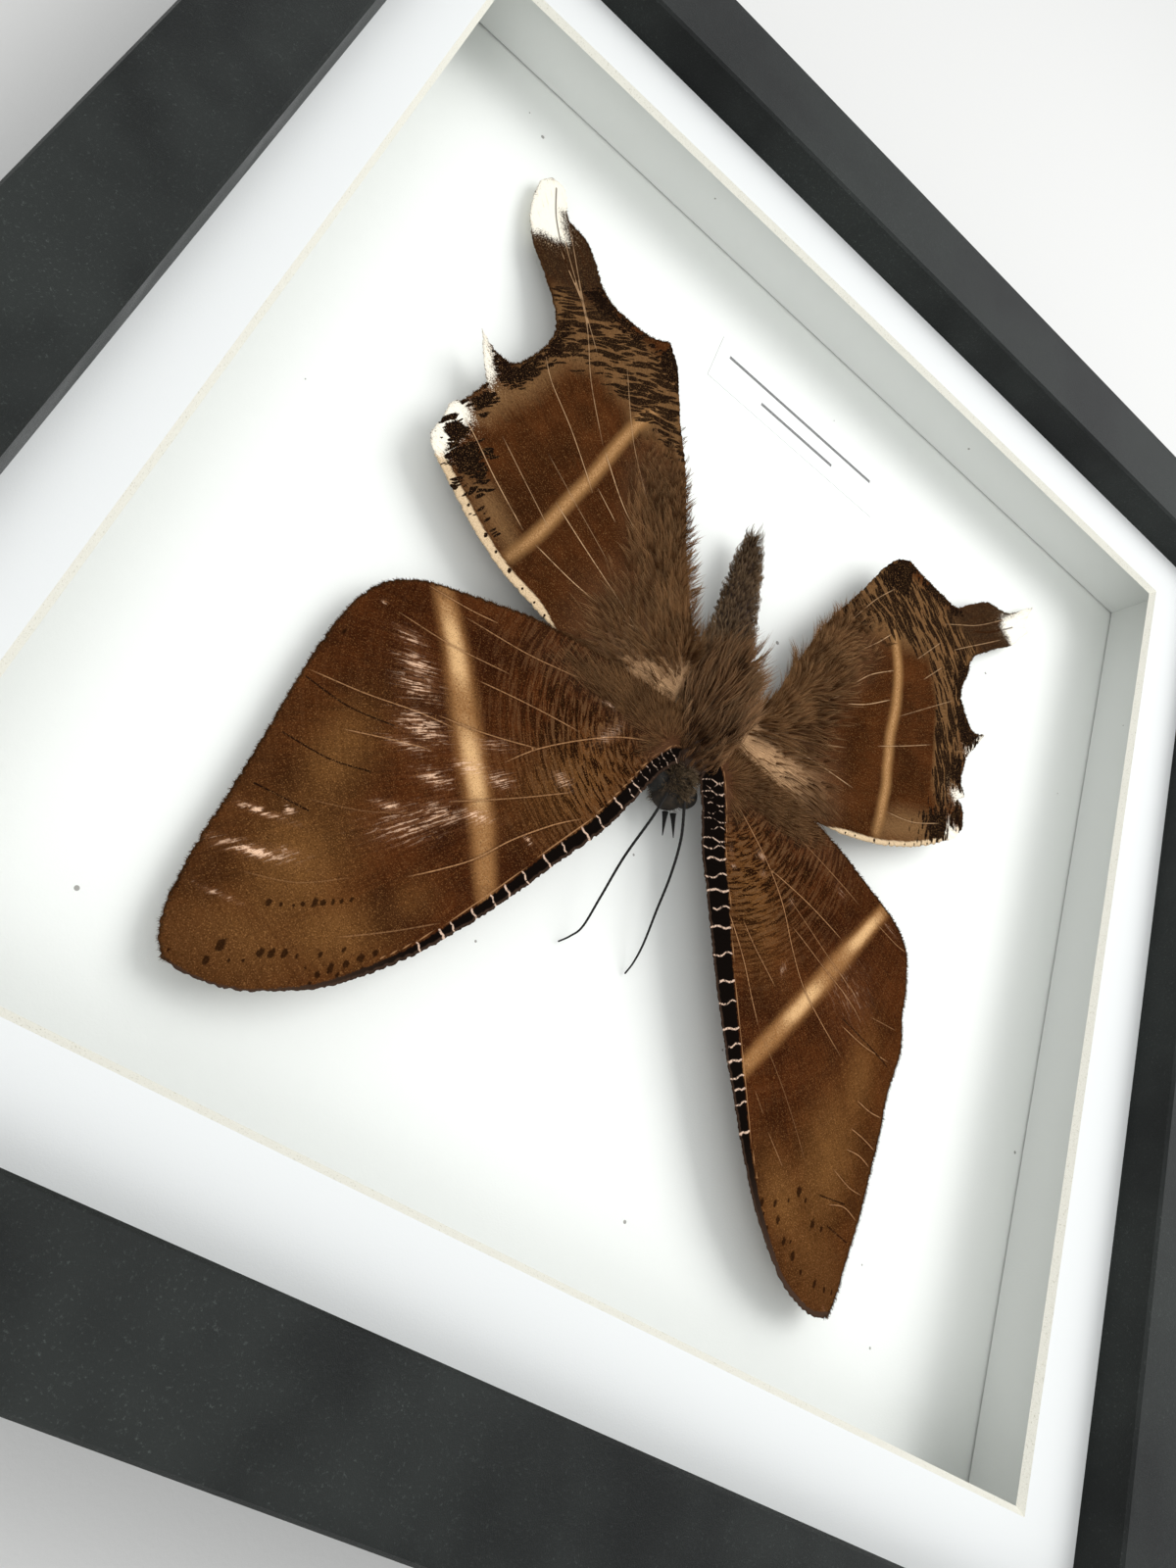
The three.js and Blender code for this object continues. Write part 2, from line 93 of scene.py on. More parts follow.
class NodeSheet:
    """A material's node tree, with short calls that add a node and give its output."""

    def __init__(self, name: str) -> None:
        """Starts an empty tree.

        Args:
            name: The material's name.
        """
        self.material = bpy.data.materials.new(name)
        self.material.use_nodes = True
        self.tree = self.material.node_tree
        self.tree.nodes.clear()

    def node(self, kind: str, values: dict[str | int, Value | Sequence[float]],
             **settings: object) -> bpy.types.Node:
        """Adds one node.

        Args:
            kind: The node's type.
            values: Constants or outputs, by the input's name or number.
            **settings: The node's own properties.

        Returns:
            The new node.
        """
        made = self.tree.nodes.new(kind)
        for name, setting in settings.items():
            setattr(made, name, setting)
        for name, value in values.items():
            if isinstance(value, bpy.types.NodeSocket):
                self.tree.links.new(value, made.inputs[name])
            elif value is not None:
                made.inputs[name].default_value = value
        return made

    def place(self) -> Socket:
        """The point on the piece in millimetres of the frame."""
        spot = self.node("ShaderNodeTexCoord", {}).outputs["Object"]
        return self.stretch(spot, (1 / MM, 1 / MM, 1 / MM))

    def stretch(self, vector: Socket, scale: Sequence[float], turn: Sequence[float] = (0, 0, 0)) -> Socket:
        """The vector turned and then scaled along each axis."""
        return self.node("ShaderNodeMapping", {"Vector": vector, "Scale": scale, "Rotation": turn}).outputs[0]

    def attribute(self, name: str) -> Socket:
        """A number kept on the mesh."""
        return self.node("ShaderNodeAttribute", {}, attribute_name=name).outputs["Fac"]

    def attribute_vector(self, name: str) -> Socket:
        """A vector kept on the mesh."""
        return self.node("ShaderNodeAttribute", {}, attribute_name=name).outputs["Vector"]

    def parts(self, vector: Socket) -> tuple[Socket, Socket, Socket]:
        """The x, y and z of a vector."""
        out = self.node("ShaderNodeSeparateXYZ", {0: vector}).outputs
        return out[0], out[1], out[2]

    def math(self, operation: str, first: Value, second: Value = 0.0, third: Value = 0.0) -> Socket:
        """One sum of the Math node."""
        return self.node("ShaderNodeMath", {0: first, 1: second, 2: third}, operation=operation).outputs[0]

    def add(self, *values: Value) -> Socket:
        """The sum of two or more values."""
        return reduce(lambda total, value: self.math("ADD", total, value), values)

    def times(self, *values: Value) -> Socket:
        """The product of two or more values."""
        return reduce(lambda total, value: self.math("MULTIPLY", total, value), values)

    def rise(self, value: Value, start: float, end: float, low: float = 0.0, high: float = 1.0) -> Socket:
        """A smooth step from low at start to high at end."""
        values = {"Value": value, "From Min": start, "From Max": end, "To Min": low, "To Max": high}
        return self.node("ShaderNodeMapRange", values, interpolation_type="SMOOTHSTEP").outputs[0]

    def noise(self, vector: Socket, scale: float, detail: float = 2.0, rough: float = 0.5,
              bend: float = 0.0) -> Socket:
        """Soft noise from 0 to 1."""
        values = {"Vector": vector, "Scale": scale, "Detail": detail, "Roughness": rough, "Distortion": bend}
        return self.node("ShaderNodeTexNoise", values).outputs["Fac"]

    def cells(self, vector: Socket, scale: float, random: float = 1.0) -> bpy.types.Node:
        """A cell pattern, whose outputs are Distance and Color."""
        return self.node("ShaderNodeTexVoronoi", {"Vector": vector, "Scale": scale, "Randomness": random})

    def mix(self, share: Value, first: Socket | Colour, second: Socket | Colour) -> Socket:
        """A blend of two colours."""
        values = {0: share, 6: first, 7: second}
        return self.node("ShaderNodeMix", values, data_type="RGBA", clamp_factor=True).outputs[2]

    def bump(self, height: Socket, distance: float, strength: float) -> Socket:
        """A bumped normal, with the bump's height in metres."""
        values = {"Height": height, "Distance": distance, "Strength": strength}
        return self.node("ShaderNodeBump", values).outputs[0]

    def finish(self, colour: Socket | Colour, roughness: Value, normal: Socket | None = None,
               **constants: float) -> bpy.types.Material:
        """Ends the tree with the surface shader.

        Args:
            colour: The base colour.
            roughness: The surface's roughness.
            normal: The bumped normal, if any.
            **constants: Other numbers of the shader, by their names with _ for a space.

        Returns:
            The material.
        """
        values = {"Base Color": colour, "Roughness": roughness, "Normal": normal}
        shader = self.node("ShaderNodeBsdfPrincipled", values)
        for name, value in constants.items():
            shader.inputs[name.replace("_", " ")].default_value = value
        self.node("ShaderNodeOutputMaterial", {"Surface": shader.outputs[0]})
        return self.material


@dataclass(frozen=True)
class SatinBlack:
    """Black satin paint with a fine pressed grain, as on the rails, and painted sheen in broad paler patches.
    """

    colour: Colour = paint(12, 15, 14)
    # worn: the paler grey of the specks, the scuffs and the painted sheen
    worn: Colour = paint(66, 71, 68)

    def build(self) -> bpy.types.Material:
        """Mixes the paint of the rails.

        Returns:
            The material.
        """
        sheet = NodeSheet("satin_black_paint")
        spot = sheet.place()
        grain = sheet.noise(spot, 2.4, 5, 0.75)
        pores = sheet.rise(sheet.noise(spot, 7.0, 3, 0.6), 0.52, 0.72)
        # cloud: broad patches of painted sheen in the colour, and of roughness
        cloud = sheet.rise(sheet.noise(spot, 0.028, 3, 0.6), 0.32, 0.7)
        specks = sheet.times(sheet.rise(grain, 0.56, 0.72), sheet.add(0.2, sheet.times(cloud, 0.6)))
        scuff = sheet.rise(sheet.noise(sheet.stretch(spot, (1, 1, 3)), 0.35, 5, 0.85), 0.66, 0.72)
        # paler grey from specks of grain, scuffs of wear and painted sheen in broad patches
        wear_and_sheen = sheet.add(sheet.times(specks, 1.2), sheet.times(scuff, 0.4), sheet.times(cloud, 0.3))
        colour = sheet.mix(wear_and_sheen, self.colour, self.worn)
        height = sheet.add(sheet.times(grain, 0.7), sheet.times(pores, 0.3))
        roughness = sheet.rise(cloud, 0.0, 1.0, 0.3, 0.48)
        return sheet.finish(colour, roughness, sheet.bump(height, 0.0001, 0.8), Specular_IOR_Level=0.2)


@dataclass(frozen=True)
class MatCard:
    """White mat card, whose cut bevel shows its rough cream core."""

    face: Colour = paint(222, 224, 223)
    core: Colour = paint(228, 226, 214)
    fibre: Colour = paint(176, 172, 152)

    def build(self) -> bpy.types.Material:
        """Mixes the mat's card.

        Returns:
            The material.
        """
        sheet = NodeSheet("mat_card")
        spot = sheet.place()
        normal_z = sheet.parts(sheet.node("ShaderNodeNewGeometry", {}).outputs["Normal"])[2]
        bevel = sheet.times(sheet.rise(normal_z, 0.99, 0.9), sheet.rise(normal_z, 0.3, 0.5))
        tooth = sheet.noise(spot, 4.5, 4, 0.65)
        ragged = sheet.noise(spot, 2.2, 5, 0.8)
        specks = sheet.rise(sheet.noise(spot, 3.4, 4, 0.75), 0.56, 0.68)
        core = sheet.mix(sheet.times(specks, 0.7), self.core, self.fibre)
        colour = sheet.mix(bevel, self.face, core)
        height = sheet.add(sheet.times(tooth, 0.25), sheet.times(ragged, bevel, 2.0))
        return sheet.finish(colour, 0.85, sheet.bump(height, 0.00012, 0.6), Specular_IOR_Level=0.25)


@dataclass(frozen=True)
class WhiteCard:
    """Plain white card with a faint tooth, some specks of dust and a painted line of shade along its foot on
    the board.
    """

    name: str = "white_card"
    face: Colour = paint(238, 240, 236)
    dust: Colour = paint(120, 116, 108)
    foot_z: float = -1.0
    painted_foot_shade: Colour = paint(34, 34, 33)

    def build(self) -> bpy.types.Material:
        """Mixes the card of the mount board and the spacers.

        Returns:
            The material.
        """
        sheet = NodeSheet(self.name)
        spot = sheet.place()
        near = sheet.cells(spot, 0.15)
        size = sheet.parts(near.outputs["Color"])[0]
        speck = sheet.math("LESS_THAN", near.outputs["Distance"], sheet.times(size, size, 0.062))
        hair = sheet.rise(sheet.noise(spot, 0.5, 5, 0.8), 0.7, 0.74)
        colour = sheet.mix(sheet.add(sheet.times(speck, 0.75), sheet.times(hair, 0.05)), self.face, self.dust)
        # painted shade: a dark line along the foot, where the card meets the board
        low = sheet.math("ABSOLUTE", sheet.math("SUBTRACT", sheet.parts(spot)[2], self.foot_z))
        colour = sheet.mix(sheet.rise(low, 0.3, 0.18), colour, self.painted_foot_shade)
        tooth = sheet.noise(spot, 3.5, 4, 0.6)
        return sheet.finish(colour, 0.88, sheet.bump(tooth, 0.00005, 0.5), Specular_IOR_Level=0.2)


@dataclass(frozen=True)
class LabelPaper:
    """A white paper slip with two plain ruled lines of print where a caption would be."""

    face: Colour = paint(246, 247, 245)
    ink: Colour = paint(58, 58, 58)
    centre: Point = (-1.7, -77.35)
    line_offset: float = 2.1
    line_halves: Point = (10.5, 21.0)
    line_height: float = 0.55

    def build(self) -> bpy.types.Material:
        """Mixes the slip's paper.

        Returns:
            The material.
        """
        sheet = NodeSheet("label_paper")
        spot = sheet.place()
        x, y, _ = sheet.parts(spot)
        along = sheet.math("ABSOLUTE", sheet.math("SUBTRACT", x, self.centre[0]))
        ink: Value = 0.0
        for half, side in zip(self.line_halves, (-1, 1)):
            rule = self.centre[1] - side * self.line_offset
            off = sheet.math("ABSOLUTE", sheet.math("SUBTRACT", y, rule))
            inside = sheet.times(sheet.rise(off, self.line_height, self.line_height * 0.5),
                                 sheet.rise(along, half, half - 0.3))
            ink = sheet.math("MAXIMUM", ink, inside)
        worn = sheet.rise(sheet.noise(spot, 6.0, 3, 0.7), 0.3, 0.6, 0.55, 0.95)
        colour = sheet.mix(sheet.times(ink, worn), self.face, self.ink)
        tooth = sheet.noise(spot, 5.0, 3, 0.6)
        return sheet.finish(colour, 0.8, sheet.bump(tooth, 0.00004, 0.5), Specular_IOR_Level=0.3)


@dataclass(frozen=True)
class Hardboard:
    """Brown hardboard, smooth side out, with its pressed fibres showing."""

    light: Colour = paint(150, 112, 74)
    dark: Colour = paint(98, 68, 42)

    def build(self) -> bpy.types.Material:
        """Mixes the board of the backing panel.

        Returns:
            The material.
        """
        sheet = NodeSheet("hardboard")
        spot = sheet.place()
        fibres = sheet.noise(sheet.stretch(spot, (1, 3, 1)), 0.8, 6, 0.75, 1.5)
        cloud = sheet.noise(spot, 0.06, 4, 0.6)
        colour = sheet.mix(sheet.add(sheet.times(fibres, 0.7), sheet.times(cloud, 0.35)),
        self.dark, self.light)
        return sheet.finish(colour, 0.62, sheet.bump(fibres, 0.0001, 0.6), Specular_IOR_Level=0.4)


@dataclass(frozen=True)
class ZincSteel:
    """Zinc-plated sheet steel with a faint spangle and scratches."""

    light: Colour = paint(205, 207, 208)
    dark: Colour = paint(150, 153, 156)

    def build(self) -> bpy.types.Material:
        """Mixes the metal of the points, the hanger, its rivets and the pin.

        Returns:
            The material.
        """
        sheet = NodeSheet("zinc_steel")
        spot = sheet.place()
        spangle = sheet.parts(sheet.cells(spot, 0.9).outputs["Color"])[1]
        scratch = sheet.noise(sheet.stretch(spot, (0.4, 9, 4)), 1.2, 4, 0.7)
        colour = sheet.mix(sheet.add(sheet.times(spangle, 0.5), sheet.times(scratch, 0.4)),
        self.dark, self.light)
        roughness = sheet.rise(scratch, 0.2, 0.8, 0.24, 0.42)
        return sheet.finish(colour, roughness, sheet.bump(scratch, 0.00003, 0.5), Metallic=1.0)


@dataclass(frozen=True)
class StrandFinish:
    """Hair-like scales, darker at the root and lighter at the tip, partly their own colour and partly painted
    highlight, with broad swirls of painted fold shade and highlight, each with a tone of its own.
    """

    name: str
    dark: Colour
    light: Colour
    tip: Colour
    tip_share: float = 0.45

    def build(self) -> bpy.types.Material:
        """Mixes the hair of one coat.

        Returns:
            The material.
        """
        sheet = NodeSheet(self.name)
        tone = sheet.attribute("tone")
        tip = sheet.attribute("tip")
        clump = sheet.noise(sheet.place(), 0.35, 3, 0.6)
        # swirl: broad patches of painted fold shade and painted highlight across the coat
        swirl = sheet.noise(sheet.place(), 0.11, 2, 0.5, 0.6)
        share = sheet.add(sheet.times(tone, 0.6), sheet.times(clump, 0.45), sheet.times(swirl, 1.2), -0.55)
        colour = sheet.mix(sheet.rise(share, 0.2, 1.0), self.dark, self.light)
        # the lighter tip is partly the hair's own colour and partly painted highlight
        colour = sheet.mix(sheet.times(sheet.rise(tip, 0.25, 1.0), self.tip_share), colour, self.tip)
        return sheet.finish(colour, 0.5, None, Specular_IOR_Level=0.0)


@dataclass(frozen=True)
class Horn:
    """Dark horny surface, as on the head and antennae, pitted and faintly glossy."""

    name: str
    dark: Colour
    light: Colour
    roughness: float
    facets: float = 6.0

    def build(self) -> bpy.types.Material:
        """Mixes the horn of one part.

        Returns:
            The material.
        """
        sheet = NodeSheet(self.name)
        spot = sheet.place()
        facet = sheet.cells(spot, self.facets).outputs["Distance"]
        cloud = sheet.noise(spot, 0.8, 5, 0.7)
        colour = sheet.mix(sheet.rise(cloud, 0.3, 0.75), self.dark, self.light)
        height = sheet.add(facet, sheet.times(cloud, 0.6))
        rough = sheet.rise(cloud, 0.2, 0.8, self.roughness, self.roughness + 0.2)
        return sheet.finish(colour, rough, sheet.bump(height, 0.0001, 0.9), Specular_IOR_Level=0.22)


class ScaleSheet(NodeSheet):
    """A wing's node tree: it holds the noises that its layers share and the colour that they build up."""

    def __init__(self, name: str, base: Colour, dust: float, fine: Sequence[float], cloud: Sequence[float],
                 streak: Sequence[float]) -> None:
        """Starts the tree with its base colour and its noises.

        Args:
            name: The material's name.
            base: The colour under all the layers.
            dust: The scale of the loose scales.
            fine: The stretch across the veins and the scale of the fine grain.
            cloud: The scale, detail and roughness of the large patches.
            streak: The stretch along and across the veins and the scale of the long streaks.
        """
        super().__init__(name)
        self.colour: Socket | Colour = base
        self.spot = self.place()
        self.flow = self.attribute_vector("flow")
        self.grain = self.noise(self.spot, 3.6, 3, 0.65)
        self.dust = self.noise(self.spot, dust, 1, 0.5)
        self.fine = self.along((1.0, fine[0]), fine[1], 4, 0.7)
        self.cloud = self.noise(self.spot, *cloud)
        self.streak = self.along(streak[:2], streak[2], 4, 0.65)

    def along(self, stretch: Sequence[float], *numbers: float) -> Socket:
        """Noise that follows the veins: its stretch along and across them, then the noise's own numbers."""
        return self.noise(self.stretch(self.flow, (*stretch, 1.0)), *numbers)

    def jitter(self, noise_value: Socket, size: float) -> Socket:
        """A noise moved to lie about 0 and made larger."""
        return self.times(self.math("SUBTRACT", noise_value, 0.5), size)

    def lay(self, share: Value, colour: Socket | Colour) -> None:
        """Lays a share of one more colour over the rest."""
        self.colour = self.mix(share, self.colour, colour)

    def end(self, height: Socket, rough: tuple[float, float]) -> bpy.types.Material:
        """Ends the tree with dull scales of a height, whose roughness lies between two values."""
        roughness = self.rise(self.grain, 0.2, 0.8, *rough)
        return self.finish(self.colour, roughness, self.bump(height, 0.00016, 0.8), Specular_IOR_Level=0.0)


@dataclass(frozen=True)
class ForewingScales:
    """Brown forewing scales with a pale oblique band, fine ripples, pale veins and a barred black costa, with
    painted glints, satin sheen and sparkle.
    """

    name: str
    glint: float = 1.0
    dark: Colour = paint(42, 18, 7)
    chestnut: Colour = paint(80, 42, 18)
    gold: Colour = paint(110, 74, 38)
    apex: Colour = paint(84, 53, 27)
    ripple: Colour = paint(30, 15, 6)
    grey: Colour = paint(98, 70, 45)
    band: Colour = paint(142, 99, 58)
    band_core: Colour = paint(212, 170, 120)
    vein: Colour = paint(162, 120, 82)
    vein_dark: Colour = paint(26, 14, 7)
    costa: Colour = paint(14, 10, 8)
    costa_far: Colour = paint(66, 50, 40)
    bar: Colour = paint(206, 176, 154)
    # worn: the pale glint strokes, partly worn scales and partly painted highlight
    worn: Colour = paint(234, 194, 162)
    # satin: painted satin sheen under the glints
    satin: Colour = paint(158, 112, 80)
    haze: Colour = paint(88, 62, 44)

    def _lay_ground(self, s: ScaleSheet) -> None:
        """Lays the mottled brown with its golden patches and its duller apex.

        Args:
            s: The wing's sheet.
        """
        mottle = s.add(s.times(s.cloud, 0.55), s.times(s.fine, 0.3), s.times(s.streak, 0.3), -0.08)
        s.lay(s.rise(mottle, 0.36, 0.68), self.chestnut)
        s.lay(s.times(s.attribute("gold"), s.rise(mottle, 0.25, 0.65, 0.5, 1.0)), self.gold)
        s.lay(s.times(s.attribute("apex"), 0.8), self.apex)

    def _lay_ripples(self, s: ScaleSheet) -> Socket:
        """Lays the fine ripples across the veins.

        Args:
            s: The wing's sheet.

        Returns:
            The mask of the dark ripples.
        """
        zone = s.attribute("ripple")
        wave = s.along((1.9, 0.14), 1.0, 3, 0.5, 0.5)
        ripple = s.times(s.rise(wave, 0.51, 0.56), zone)
        s.lay(s.times(s.rise(wave, 0.5, 0.38), zone, 0.6), self.grey)
        s.lay(s.times(ripple, 0.9), self.ripple)
        return ripple

    def _lay_band(self, s: ScaleSheet) -> Socket:
        """Lays the pale band and its bright core.

        Args:
            s: The wing's sheet.

        Returns:
            The mask of the band.
        """
        band = s.math("ABSOLUTE", s.add(s.attribute("band"), s.jitter(s.fine, 0.5)))
        show = s.attribute("band_show")
        glow = s.times(s.rise(band, 1.5, 0.3), show)
        s.lay(s.times(glow, 0.9), self.band)
        lit = s.add(s.times(s.grain, 0.7), s.times(s.streak, 0.3), s.attribute("band_core"))
        s.lay(s.times(s.rise(band, 0.95, 0.1), show, s.rise(lit, 0.65, 1.25)), self.band_core)
        return glow

    def _lay_veins(self, s: ScaleSheet, chips: Socket) -> None:
        """Lays the pale veins in their creases, and the dark ones.

        Args:
            s: The wing's sheet.
            chips: The noise that breaks the lines.
        """
        line, show = s.attribute("vein"), s.attribute("vein_show")
        s.lay(s.times(s.rise(line, 0.45, 0.16), show, 0.5), self.dark)
        s.lay(s.times(s.rise(line, 0.13, 0.05), show, s.rise(chips, 0.3, 0.55, 0.45, 1.0)), self.vein)
        dark = s.rise(s.attribute("vein_dark"), 0.2, 0.06)
        s.lay(s.times(dark, s.rise(chips, 0.3, 0.5, 0.5, 1.0)), self.vein_dark)

    def _lay_wear(self, s: ScaleSheet, chips: Socket, glow: Socket) -> None:
        """Lays the glint strokes, partly worn scales and partly painted highlight, over a painted satin
        sheen, then the loose scales with painted sparkle, the apex dots and the haze at the root.

        Args:
            s: The wing's sheet.
            chips: The noise that breaks the marks.
            glow: The mask of the band.
        """
        worn = s.times(s.attribute("glint"), self.glint)
        # painted satin sheen under the glints
        s.lay(s.times(worn, s.rise(s.streak, 0.35, 0.65), 0.5), self.satin)
        # glint strokes: partly worn scales, partly painted highlight
        stroke = s.along((0.32, 3.6), 1.0, 2, 0.6, 0.6)
        glint_strokes = s.rise(s.add(stroke, s.times(chips, 0.35), s.times(worn, 0.16)), 0.76, 0.9)
        s.lay(s.times(glint_strokes, worn), self.worn)
        # loose pale scales, partly painted sparkle, brighter in the gold patches and the band
        bright = s.add(0.36, s.times(s.attribute("gold"), 0.4), s.times(glow, 0.4))
        s.lay(s.times(s.rise(s.dust, 0.56, 0.72), bright), self.band)
        s.lay(s.times(s.rise(s.dust, 0.45, 0.25), 0.6), self.dark)
        spots = s.rise(s.add(s.attribute("spot"), s.jitter(chips, 1.6)), 1.15, 0.7)
        s.lay(s.times(spots, 0.85), self.ripple)
        haze = s.times(s.attribute("haze"), s.rise(s.streak, 0.25, 0.7, 0.45, 1.0))
        s.lay(s.times(haze, 0.85), self.haze)
        edge = s.add(s.attribute("edge"), s.times(s.grain, 0.5))
        s.lay(s.rise(edge, 0.7, 0.25, 0.0, 0.3), self.ripple)

    def _lay_costa(self, s: ScaleSheet, chips: Socket) -> None:
        """Lays the black strip along the leading edge, its grey rim and its cream bars.

        Args:
            s: The wing's sheet.
            chips: The noise that makes the strip ragged.
        """
        ragged = s.jitter(chips, 0.7)
        inner = s.add(s.attribute("strip"), ragged)
        black = s.mix(s.attribute("strip_fade"), self.costa, self.costa_far)
        s.lay(s.rise(inner, -0.15, 0.1), black)
        edge = s.rise(s.attribute("edge"), 0.55, 0.3)
        s.lay(s.times(edge, s.rise(inner, 0.2, 0.6), s.rise(chips, 0.2, 0.5), 0.7), self.costa_far)
        bar = s.rise(s.add(s.attribute("bar"), s.times(ragged, 0.3)), 0.22, 0.1)
        s.lay(s.times(bar, s.rise(inner, -0.7, -0.3)), self.bar)
        s.lay(s.times(s.rise(s.attribute("strip_line"), 0.15, 0.05), 0.75), self.vein)

    def build(self) -> bpy.types.Material:
        """Lays the scales of one forewing.

        Returns:
            The material.
        """
        s = ScaleSheet(self.name, self.dark, dust=5.2, fine=(2.4, 1.4), cloud=(0.11, 3, 0.55),
                       streak=(0.1, 2.2, 1.3))
        chips = s.noise(s.spot, 1.6, 3, 0.7)
        self._lay_ground(s)
        ripple = self._lay_ripples(s)
        glow = self._lay_band(s)
        self._lay_veins(s, chips)
        self._lay_wear(s, chips, glow)
        self._lay_costa(s, chips)
        height = s.add(s.times(s.fine, 0.5), s.times(s.grain, 0.3), s.times(s.streak, 0.7),
        s.times(ripple, -0.4))
        return s.end(height, (0.45, 0.62))


@dataclass(frozen=True)
class HindwingScales:
    """Brown hindwing scales with a pale band, a jagged black and white margin, dashes and a white tail."""

    name: str
    dark: Colour = paint(43, 21, 8)
    chestnut: Colour = paint(79, 43, 19)
    furred: Colour = paint(90, 64, 44)
    band: Colour = paint(144, 105, 64)
    band_core: Colour = paint(178, 136, 92)
    tan: Colour = paint(124, 93, 60)
    cream: Colour = paint(214, 188, 152)
    # gold: the golden patches, raised to the colour of their painted highlights
    gold: Colour = paint(216, 174, 130)
    black: Colour = paint(20, 12, 8)
    white: Colour = paint(246, 240, 224)
    dust: Colour = paint(104, 76, 50)
    vein: Colour = paint(190, 154, 116)
    tail: Colour = paint(42, 29, 19)
    dash_turn: float = 90.0
    hatch_turn: float = 57.0

    def _strokes(self, s: ScaleSheet, spot: Socket, turn: float, jag: Socket, size: Value) -> Socket:
        """Draws short dark strokes, each a long cell of its own length and weight.

        Args:
            s: The wing's sheet.
            spot: The point on the wing in millimetres, or its distance from the root and its turn round it.
            turn: The way that the strokes run, in degrees from the first axis.
            jag: The noise that roughens them.
            size: How much of its cell a stroke fills.

        Returns:
            A mask of the strokes.
        """
        swell = s.node("ShaderNodeTexNoise", {"Vector": spot, "Scale": 0.22, "Detail": 2.0}).outputs["Color"]
        bent = s.node("ShaderNodeVectorMath", {0: swell, 1: (0.5, 0.5, 0.5)}, operation="SUBTRACT").outputs[0]
        bent = s.node("ShaderNodeVectorMath", {0: bent, "Scale": 2.2}, operation="SCALE").outputs[0]
        moved = s.node("ShaderNodeVectorMath", {0: spot, 1: bent}, operation="ADD").outputs[0]
        turned = s.stretch(moved, (1.0, 1.0, 0.0), (0, 0, -math.radians(turn)))
        cell = s.cells(s.stretch(turned, (0.33, 1.45, 0.0)), 1.0, 0.85)
        reach = s.times(size, s.rise(s.parts(cell.outputs["Color"])[0], 0.0, 1.0, 0.65, 1.25))
        gap = s.math("SUBTRACT", s.add(cell.outputs["Distance"], s.times(jag, 0.07)), reach)
        return s.rise(gap, 0.05, -0.05)

    def _lay_ground(self, s: ScaleSheet, feather: Socket) -> None:
        """Lays the mottled brown, the furred inner half and the golden patches at the root, whose pale
        streaks are partly painted highlight.

        Args:
            s: The wing's sheet.
            feather: The long ragged noise.
        """
        mottle = s.add(s.times(s.cloud, 0.5), s.times(s.fine, 0.3), s.times(s.streak, 0.3), -0.05)
        s.lay(s.rise(mottle, 0.36, 0.7), self.chestnut)
        s.lay(s.times(s.attribute("haze"), s.rise(s.streak, 0.25, 0.7, 0.6, 1.0), 0.9), self.furred)
        # golden patches: their own colour, with pale streaks that are partly painted highlight
        s.lay(s.times(s.attribute("gold"), s.rise(feather, 0.38, 0.6, 0.1, 0.95)), self.gold)

    def _lay_band(self, s: ScaleSheet, jag: Socket, zone: Socket) -> None:
        """Lays the tan patches and the pale band.

        Args:
            s: The wing's sheet.
            jag: The noise that roughens the patches.
            zone: The share of dashes at each point.
        """
        tan = s.math("MAXIMUM", s.rise(s.add(s.attribute("tan"), jag), -2.6, 3.2), s.times(zone, 0.8))
        s.lay(s.times(tan, s.rise(s.fine, 0.2, 0.65, 0.25, 0.85)), self.tan)
        band = s.math("ABSOLUTE", s.add(s.attribute("band"), s.jitter(s.fine, 0.6)))
        show = s.attribute("band_show")
        s.lay(s.times(s.rise(band, 1.5, 0.3), show, 0.9), self.band)
        s.lay(s.times(s.rise(band, 0.7, 0.1), show, s.rise(s.grain, 0.35, 0.65)), self.band_core)

    def _lay_tail(self, s: ScaleSheet, jag: Socket, zone: Socket) -> None:
        """Lays the rows of dashes, the dark tail, the cream costa and its hatching.

        Args:
            s: The wing's sheet.
            jag: The noise that roughens the marks.
            zone: The share of dashes at each point.
        """
        dash = self._strokes(s, s.flow, self.dash_turn, jag, s.rise(zone, 0.1, 1.0, 0.3, 0.61))
        s.lay(s.times(dash, s.rise(zone, 0.08, 0.4), 0.95), self.black)
        tail = s.attribute("tail")
        s.lay(s.times(tail, s.rise(s.streak, 0.3, 0.65, 0.6, 1.0)), self.tail)
        s.lay(s.times(tail, s.rise(s.dust, 0.54, 0.68), 0.3), self.tan)
        cream = s.rise(s.add(s.attribute("cream"), s.times(jag, 0.2)), -0.1, 0.35)
        s.lay(s.times(cream, s.rise(s.grain, 0.3, 0.6, 0.75, 1.0)), self.cream)
        hatched = s.attribute("hatch")
        hatch = self._strokes(s, s.spot, self.hatch_turn, jag, s.times(hatched, 0.72))
        s.lay(s.times(hatch, s.rise(hatched, 0.1, 0.25)), self.black)

